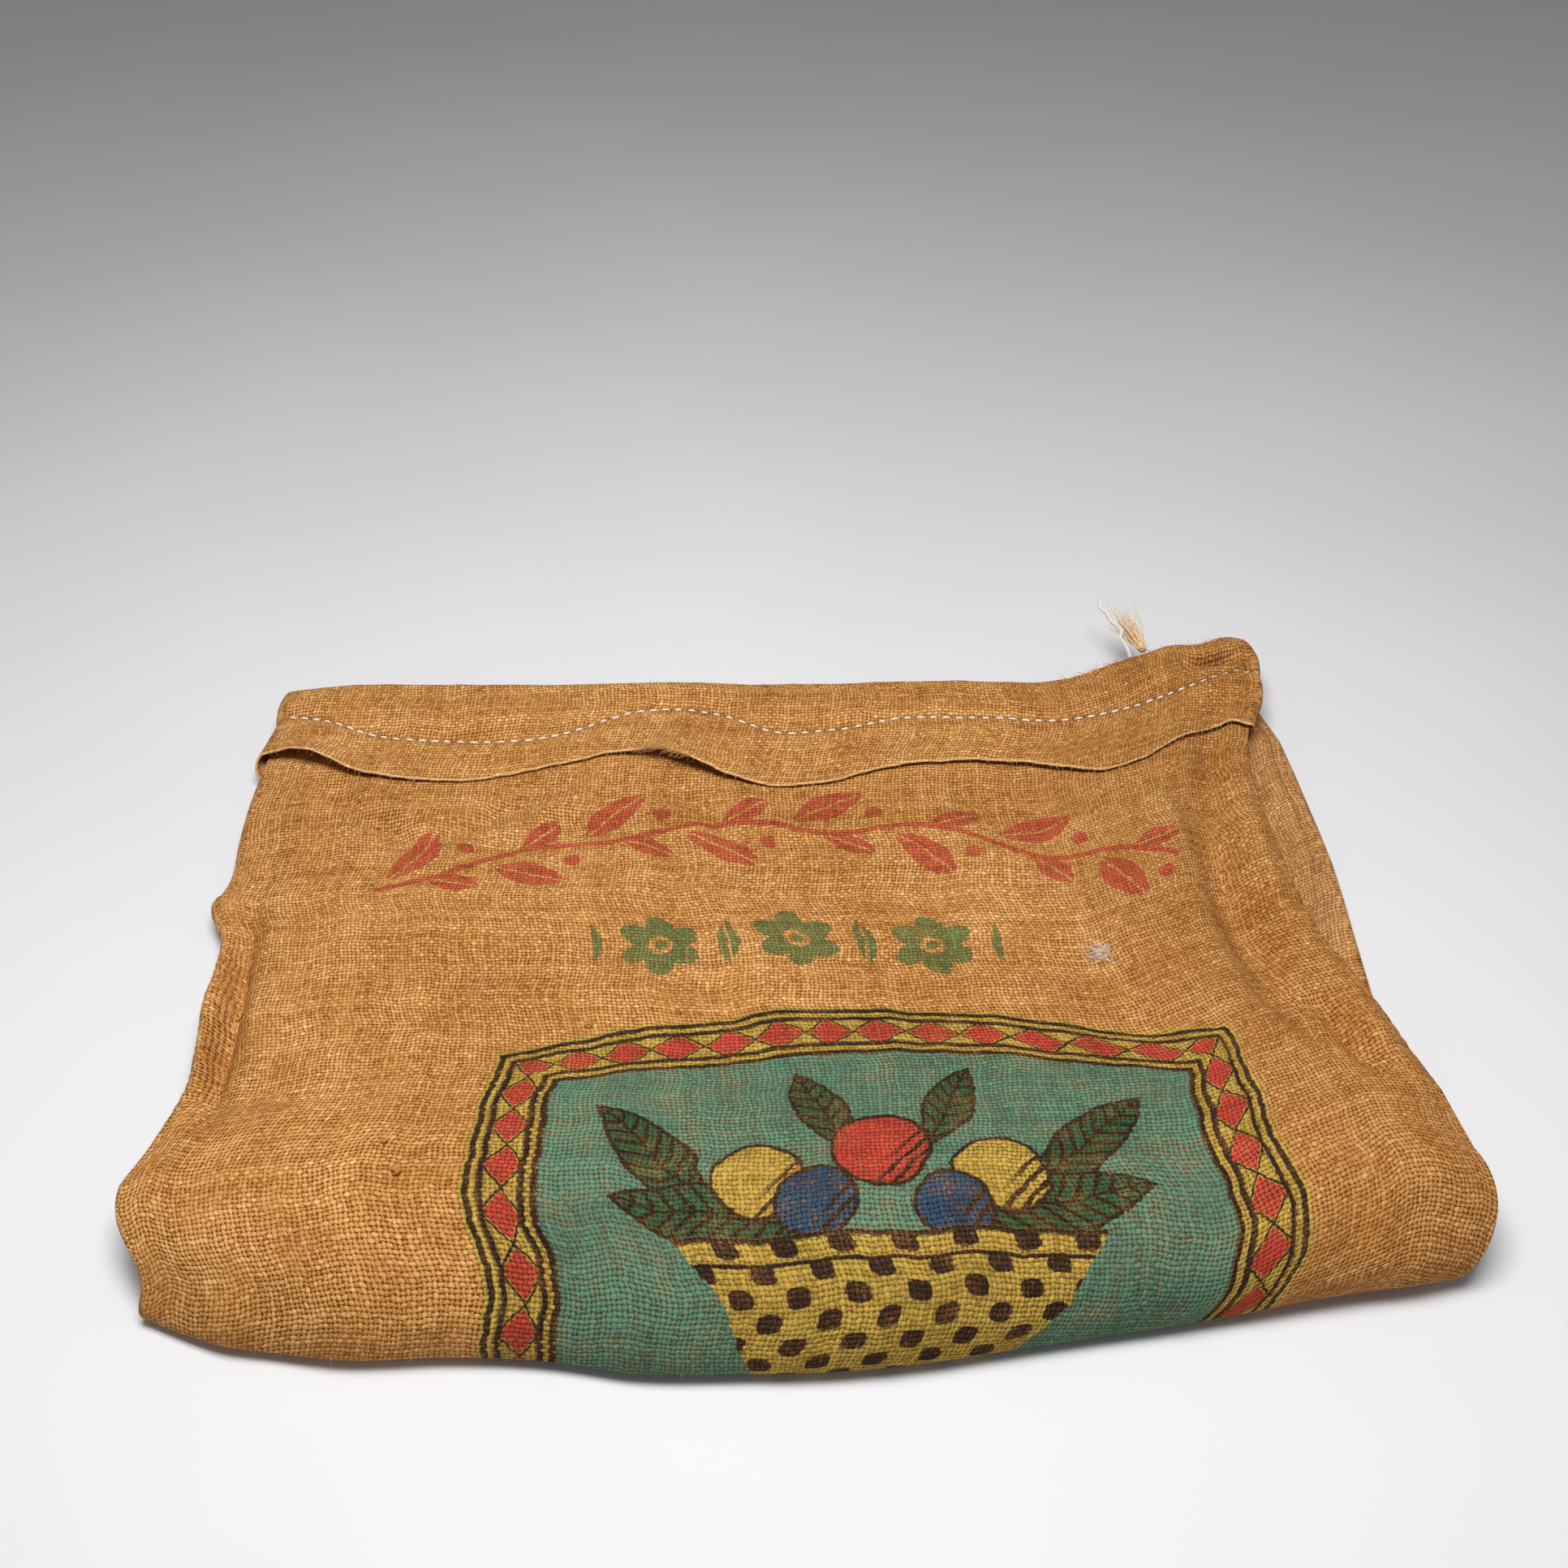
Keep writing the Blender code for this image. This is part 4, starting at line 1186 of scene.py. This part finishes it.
# ---- pieces
def add_piece(name, data, material):
    """A mesh piece that rides on the part."""
    data.materials.append(material)
    thing = bpy.data.objects.new(name, data)
    bpy.context.scene.collection.objects.link(thing)
    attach(thing, "root")
    return thing


def add_uv(data, name, across, along):
    """A UV map from one pair of numbers a loop."""
    layer = data.uv_layers.new(name=name)
    layer.data.foreach_set("uv", np.stack([across, along], axis=-1).astype(np.float32).ravel())


def corners(values, after):
    """A grid's values at the corners of each face, from those of the next column as well."""
    return np.stack([values[:-1], values[1:], after[1:], after[:-1]], axis=-1)


def corners_round(values):
    """The same where the values close round the tube."""
    return corners(values, np.roll(values, -1, axis=1))


def make_sack(cloth):
    """The whole cloth as one sheet."""
    rows, columns = cloth.grid.shape[:2]
    index = np.arange(rows * columns).reshape(rows, columns)
    data = bpy.data.meshes.new("sack")
    faces = corners_round(index).reshape(-1, 4)
    data.from_pydata(cloth.grid.reshape(-1, 3).tolist(), [], faces.tolist())
    last_u = 3 * HALF_WIDTH + 2 * EDGE_GAP
    u = np.broadcast_to(cloth.u, (rows, columns))
    u_after = np.roll(u, -1, axis=1).copy()
    u_after[:, -1] = last_u
    across = corners(u, u_after).ravel()
    along = corners_round(cloth.v).ravel()
    add_uv(data, "cloth", across, along)
    from_edge = corners_round(cloth.v - cloth.v[RAW_ROW]).ravel()
    add_uv(data, "hem", from_edge, corners_round(cloth.v - cloth.v[cloth.stitch_row]).ravel())
    bake_u = np.interp(across, [-HALF_WIDTH, HALF_WIDTH, last_u], [BAKE_LOW, BAKE_FRONT, BAKE_HIGH])
    way = [cloth.v.min(), BAKE_SEEN_END, cloth.v.max()]
    add_uv(data, "OFBake", bake_u, np.interp(along, way, [BAKE_LOW, BAKE_SEEN, BAKE_HIGH]))
    data.shade_smooth()
    data.update()
    sack = add_piece("sack", data, burlap_material())
    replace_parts(sack, "sack_cloth")
    return sack


def directions(points, lean):
    """Unit directions beside and above a line of points."""
    tangents = unit(np.gradient(points, axis=0))
    side = unit(np.cross(tangents, lean))
    return side, np.cross(side, tangents)


def tube(points, radii, sides):
    """Vertices and faces of a tapering tube along points."""
    points = np.array(points)
    side, up = directions(points, [0.3, 0.2, 0.93])
    angles = (np.arange(sides) * 2 * math.pi / sides)[None, :, None]
    rings = side[:, None] * np.cos(angles) + up[:, None] * np.sin(angles)
    rings = points[:, None] + rings * np.array(radii)[:, None, None]
    index = np.arange(len(points) * sides).reshape(-1, sides)
    after = np.roll(index, -1, axis=1)
    walls = np.stack([index[:-1], after[:-1], after[1:], index[1:]], axis=-1).reshape(-1, 4)
    return rings.reshape(-1, 3), [*walls.tolist(), index[0, ::-1].tolist(), index[-1].tolist()]


def tubes_piece(name, parts, material):
    """One piece of many tubes."""
    verts, faces = [], []
    for part_verts, part_faces in parts:
        offset = len(verts)
        verts.extend(part_verts.tolist())
        faces.extend(tuple(i + offset for i in face) for face in part_faces)
    data = bpy.data.meshes.new(name)
    data.from_pydata(verts, [], faces)
    data.shade_smooth()
    data.update()
    return add_piece(name, data, material)


def stitches(cloth, dice):
    """White lockstitch along the hem's line of sewing, right round the mouth."""
    row = cloth.stitch_row
    line = cloth.grid[row]
    way = way_along(np.concatenate([line, line[:1]]))
    columns = np.arange(len(line) + 1)
    at = FIRST_STITCH
    while at < way[-1] - STITCH_PITCH:
        length = STITCH_LENGTH * dice.uniform(0.86, 1.12)
        points, radii = [], []
        for share in np.linspace(0.0, 1.0, 7):
            column = float(np.interp(at + length * share, way, columns))
            place, normal = cloth.at(row, min(column, len(line) - 0.001))
            hump = math.sin(math.pi * share)
            small = 1.0 - 0.5 * float(ease((place[0] - CORNER_STITCHES_X) / CORNER_STITCHES_WIDTH))
            points.append(place - normal * (STITCH_RADIUS * hump**0.6 * small - STITCH_SINK))
            radii.append(STITCH_RADIUS * (0.55 + 0.45 * hump**0.4) * small)
        yield tube(points, radii, 8)
        at += STITCH_PITCH * dice.uniform(0.95, 1.05)


def make_tail(material):
    """The free end of the hem's thread: plies that twist round each other."""
    route = smooth_route(TAIL_ROUTE, TAIL_POINTS) + PART_SHIFT
    length = float(np.linalg.norm(np.diff(route, axis=0), axis=1).sum())
    fine = smooth_route(TAIL_ROUTE, TAIL_FINE_POINTS) + PART_SHIFT
    side, up = directions(fine, [0.0, 0.0, 1.0])
    way = np.linspace(0.0, length, len(fine))
    parts = []
    for ply in range(TAIL_PLIES):
        angle = (way / TAIL_TWIST + ply / TAIL_PLIES)[:, None] * 2 * math.pi
        offset = (side * np.cos(angle) + up * np.sin(angle)) * PLY_REACH
        parts.append(tube(fine + offset, np.full(len(fine), PLY_RADIUS), 6))
    tail = tubes_piece("sewing_thread_end", parts, material)
    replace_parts(tail, "thread_tail")


def scatter(dice, *spreads):
    """A vector of random numbers about zero."""
    return np.array([dice.gauss(0, spread) for spread in spreads])


def aimed(dice, spreads):
    """A random direction that never points down, from the mean and the spread of each number."""
    x, y, z = (dice.gauss(*spread) for spread in spreads)
    return np.array([x, y, abs(z)])


def strand(dice, root, aim, length, hair):
    """One loose fibre from its root."""
    points = [np.array(root)]
    heading = unit(np.array(aim))
    side = unit(np.cross(heading, scatter(dice, 1, 1, 1)))
    phase = dice.uniform(0, 6.28)
    for step in range(1, hair.steps + 1):
        share = step / hair.steps
        bend = side * hair.curl * math.sin(share * 3.2 + phase)
        way = unit(heading + bend - np.array([0, 0, hair.droop * share]))
        points.append(points[-1] + way * length / hair.steps)
    radii = [hair.radius * (1 - 0.65 * i / hair.steps) for i in range(hair.steps + 1)]
    return tube(points, radii, hair.sides)


def tuft(dice):
    """The frayed yarn end at the mouth, with a few turns of yarn round its root."""
    root = np.array(TUFT_ROOT) + PART_SHIFT
    aim = np.array(TUFT_AIM)
    for _ in range(TUFT_STRANDS):
        spread = scatter(dice, *TUFT_SPREAD)
        start = root + scatter(dice, *TUFT_ROOT_SPREAD)
        length = dice.uniform(*TUFT_HAIR.reach)
        hair = TUFT_HAIR._replace(radius=dice.uniform(*TUFT_RADII))
        yield strand(dice, start, aim + spread, length, hair)
    angle = np.linspace(0, 2 * math.pi, 14)
    loop = np.stack([np.cos(angle), np.sin(3 * angle), np.sin(angle)], axis=-1) * TURN_SIZE
    for turn in range(TUFT_TURNS):
        centre = root + unit(aim) * (0.0002 + turn * TURN_RISE)
        yield tube(centre + loop, np.full(len(loop), TURN_RADIUS), 5)


def fray(cloth, dice):
    """Loose fibres along the hem's raw edge, at a frayed spot on it and along the mouth."""
    for _ in range(EDGE_HAIRS):
        place, _ = cloth.at(RAW_ROW, dice.uniform(2, FRONT_COLUMNS - 2))
        out = np.array([dice.gauss(0, 0.5), -1.0, dice.gauss(0.1, 0.25)])
        yield strand(dice, place, out, dice.uniform(*EDGE_HAIR.reach), EDGE_HAIR)
    edge_x = cloth.grid[RAW_ROW, :FRONT_COLUMNS, 0]
    spot = [c for c in range(FRONT_COLUMNS) if FRAYED_SPOT[0] < edge_x[c] < FRAYED_SPOT[1]]
    for _ in range(SPOT_HAIRS):
        place, _ = cloth.at(RAW_ROW, dice.choice(spot) + dice.random())
        out = aimed(dice, SPOT_AIM)
        yield strand(dice, place + SPOT_LIFT, out, dice.uniform(*SPOT_HAIR.reach), SPOT_HAIR)
    top = cloth.fold_row - BEND_ROWS // 2
    top_x = cloth.grid[top, :FRONT_COLUMNS, 0]
    for spray in MOUTH_SPRAYS:
        columns = [c for c in range(FRONT_COLUMNS) if spray.low < top_x[c] < spray.high]
        for _ in range(spray.count):
            place, _ = cloth.at(top + dice.uniform(-3, 1), dice.choice(columns) + dice.random())
            out = aimed(dice, MOUTH_AIM)
            yield strand(dice, place, out, spray.reach * dice.uniform(*MOUTH_HAIR.reach), MOUTH_HAIR)


def nap(cloth, dice):
    """Fine hairs that stand off the woven face."""
    last = cloth.open_row + TOP_ROWS + int(ROLL_ROWS * NAP_END)
    columns = cloth.grid.shape[1]
    for number in range(NAP_HAIRS):
        row = dice.uniform(cloth.open_row, last) if number % 5 else dice.uniform(4, cloth.fold_row - 4)
        column = dice.uniform(0, FRONT_COLUMNS)
        if number % 7 == 0:
            column = dice.choice((0.0, FRONT_COLUMNS)) + dice.uniform(-1.0, 1.0)
        place, normal = cloth.at(row, column % columns)
        side = 1.0 if row > cloth.fold_row else -1.0
        out = normal * side + scatter(dice, *NAP_SPREAD)
        yield strand(dice, place, out, dice.uniform(*NAP_HAIR.reach), NAP_HAIR)


def lint(cloth, dice):
    """A wisp of white lint caught on the cloth."""
    place, _ = cloth.at(*cloth.cell_near(*LINT_PLACE))
    for _ in range(LINT_HAIRS):
        start = place + np.array([dice.gauss(0, 0.0026), dice.gauss(0, 0.0022), 0.0006])
        out = aimed(dice, LINT_AIM)
        yield strand(dice, start, out, dice.uniform(*LINT_HAIR.reach), LINT_HAIR)


def knots(cloth, dice):
    """Slubs where a yarn was knotted or thickened in the weaving."""
    angle = np.linspace(0, 2 * math.pi, KNOT_POINTS)[:, None]
    for knot in KNOTS:
        place, normal = cloth.at(*cloth.cell_near(knot.x, knot.y, 10))
        for _ in range(KNOT_LOOPS):
            tilt = scatter(dice, 1, 1, 1)
            side = unit(np.cross(normal, tilt))
            up = unit(np.cross(side, tilt))
            loop = (side * np.cos(angle) + up * np.sin(angle)) * knot.size * 0.55
            loop = place + normal * knot.size * 0.25 + loop
            yield tube(loop, np.full(KNOT_POINTS, knot.size * 0.26), 6)


# ---- camera, floor and light
def add_thing(name, data):
    """An object in the scene that isn't a piece of the part."""
    thing = bpy.data.objects.new(name, data)
    bpy.context.scene.collection.objects.link(thing)
    return thing


def make_camera():
    """The photograph's view."""
    data = bpy.data.cameras.new("camera")
    data.lens = CAMERA_LENS
    data.sensor_width = SENSOR
    data.clip_start = NEAREST_SEEN
    camera = add_thing("camera", data)
    camera.location = CAMERA_PLACE
    camera.rotation_euler = (CAMERA_PITCH, 0.0, 0.0)
    bpy.context.scene.camera = camera


def make_floor():
    """A plain pale table."""
    material, tree = fresh_material("floor")
    x, y = two_of(add_node(tree, "ShaderNodeTexCoord", (), "Object"))
    tone = mixed(cloud(vector(x, y), 3.0, 3.0).ramp(0.2, 0.8), *FLOOR_TONES)
    shader = tree.nodes["Principled BSDF"]
    tree.links.new(tone.socket, shader.inputs["Base Color"])
    shader.inputs["Roughness"].default_value = 0.75
    data = bpy.data.meshes.new("floor")
    far = FLOOR_REACH
    data.from_pydata([(-far, -far, 0), (far, -far, 0), (far, far, 0), (-far, far, 0)], [], [(0, 1, 2, 3)])
    data.materials.append(material)
    add_thing("floor", data)


def make_light():
    """Soft studio light from overhead and in front, with an even fill."""
    world = bpy.data.worlds.new("studio")
    bpy.context.scene.world = world
    world.use_nodes = True
    back = world.node_tree.nodes["Background"]
    back.inputs[0].default_value = (1.0, 1.0, 1.0, 1.0)
    back.inputs[1].default_value = FILL_LIGHT
    data = bpy.data.lights.new("overhead", "AREA")
    data.shape = "RECTANGLE"
    data.size, data.size_y = LAMP_SIZE
    data.energy = LAMP_POWER
    data.color = LAMP_TINT
    lamp = add_thing("overhead", data)
    lamp.location = LAMP_PLACE
    aim = Vector(LAMP_TARGET) - Vector(LAMP_PLACE)
    lamp.rotation_euler = aim.to_track_quat("-Z", "Y").to_euler()
    bpy.context.scene.view_settings.view_transform = "Standard"


make_camera()
white_thread = fibre_material("white_thread", WHITE_THREAD)
pale_fibre = fibre_material("pale_jute", PALE_JUTE)
gold_fibre = fibre_material("jute_fibre", JUTE_FIBRE)
knot_fibre = fibre_material("knotted_jute", KNOTTED_JUTE)
make_tail(white_thread)
the_cloth = Cloth()
sack_piece = make_sack(the_cloth)
stitch_piece = tubes_piece("hem_stitches", stitches(the_cloth, random.Random(5)), white_thread)
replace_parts(tubes_piece("frayed_yarn", tuft(random.Random(11)), pale_fibre), "yarn_tuft")
fray_piece = tubes_piece("loose_fibres", fray(the_cloth, random.Random(23)), gold_fibre)
nap_piece = tubes_piece("nap", nap(the_cloth, random.Random(37)), gold_fibre)
lint_piece = tubes_piece("lint", lint(the_cloth, random.Random(3)), white_thread)
knot_piece = tubes_piece("slub_knots", knots(the_cloth, random.Random(8)), knot_fibre)
make_floor()
make_light()
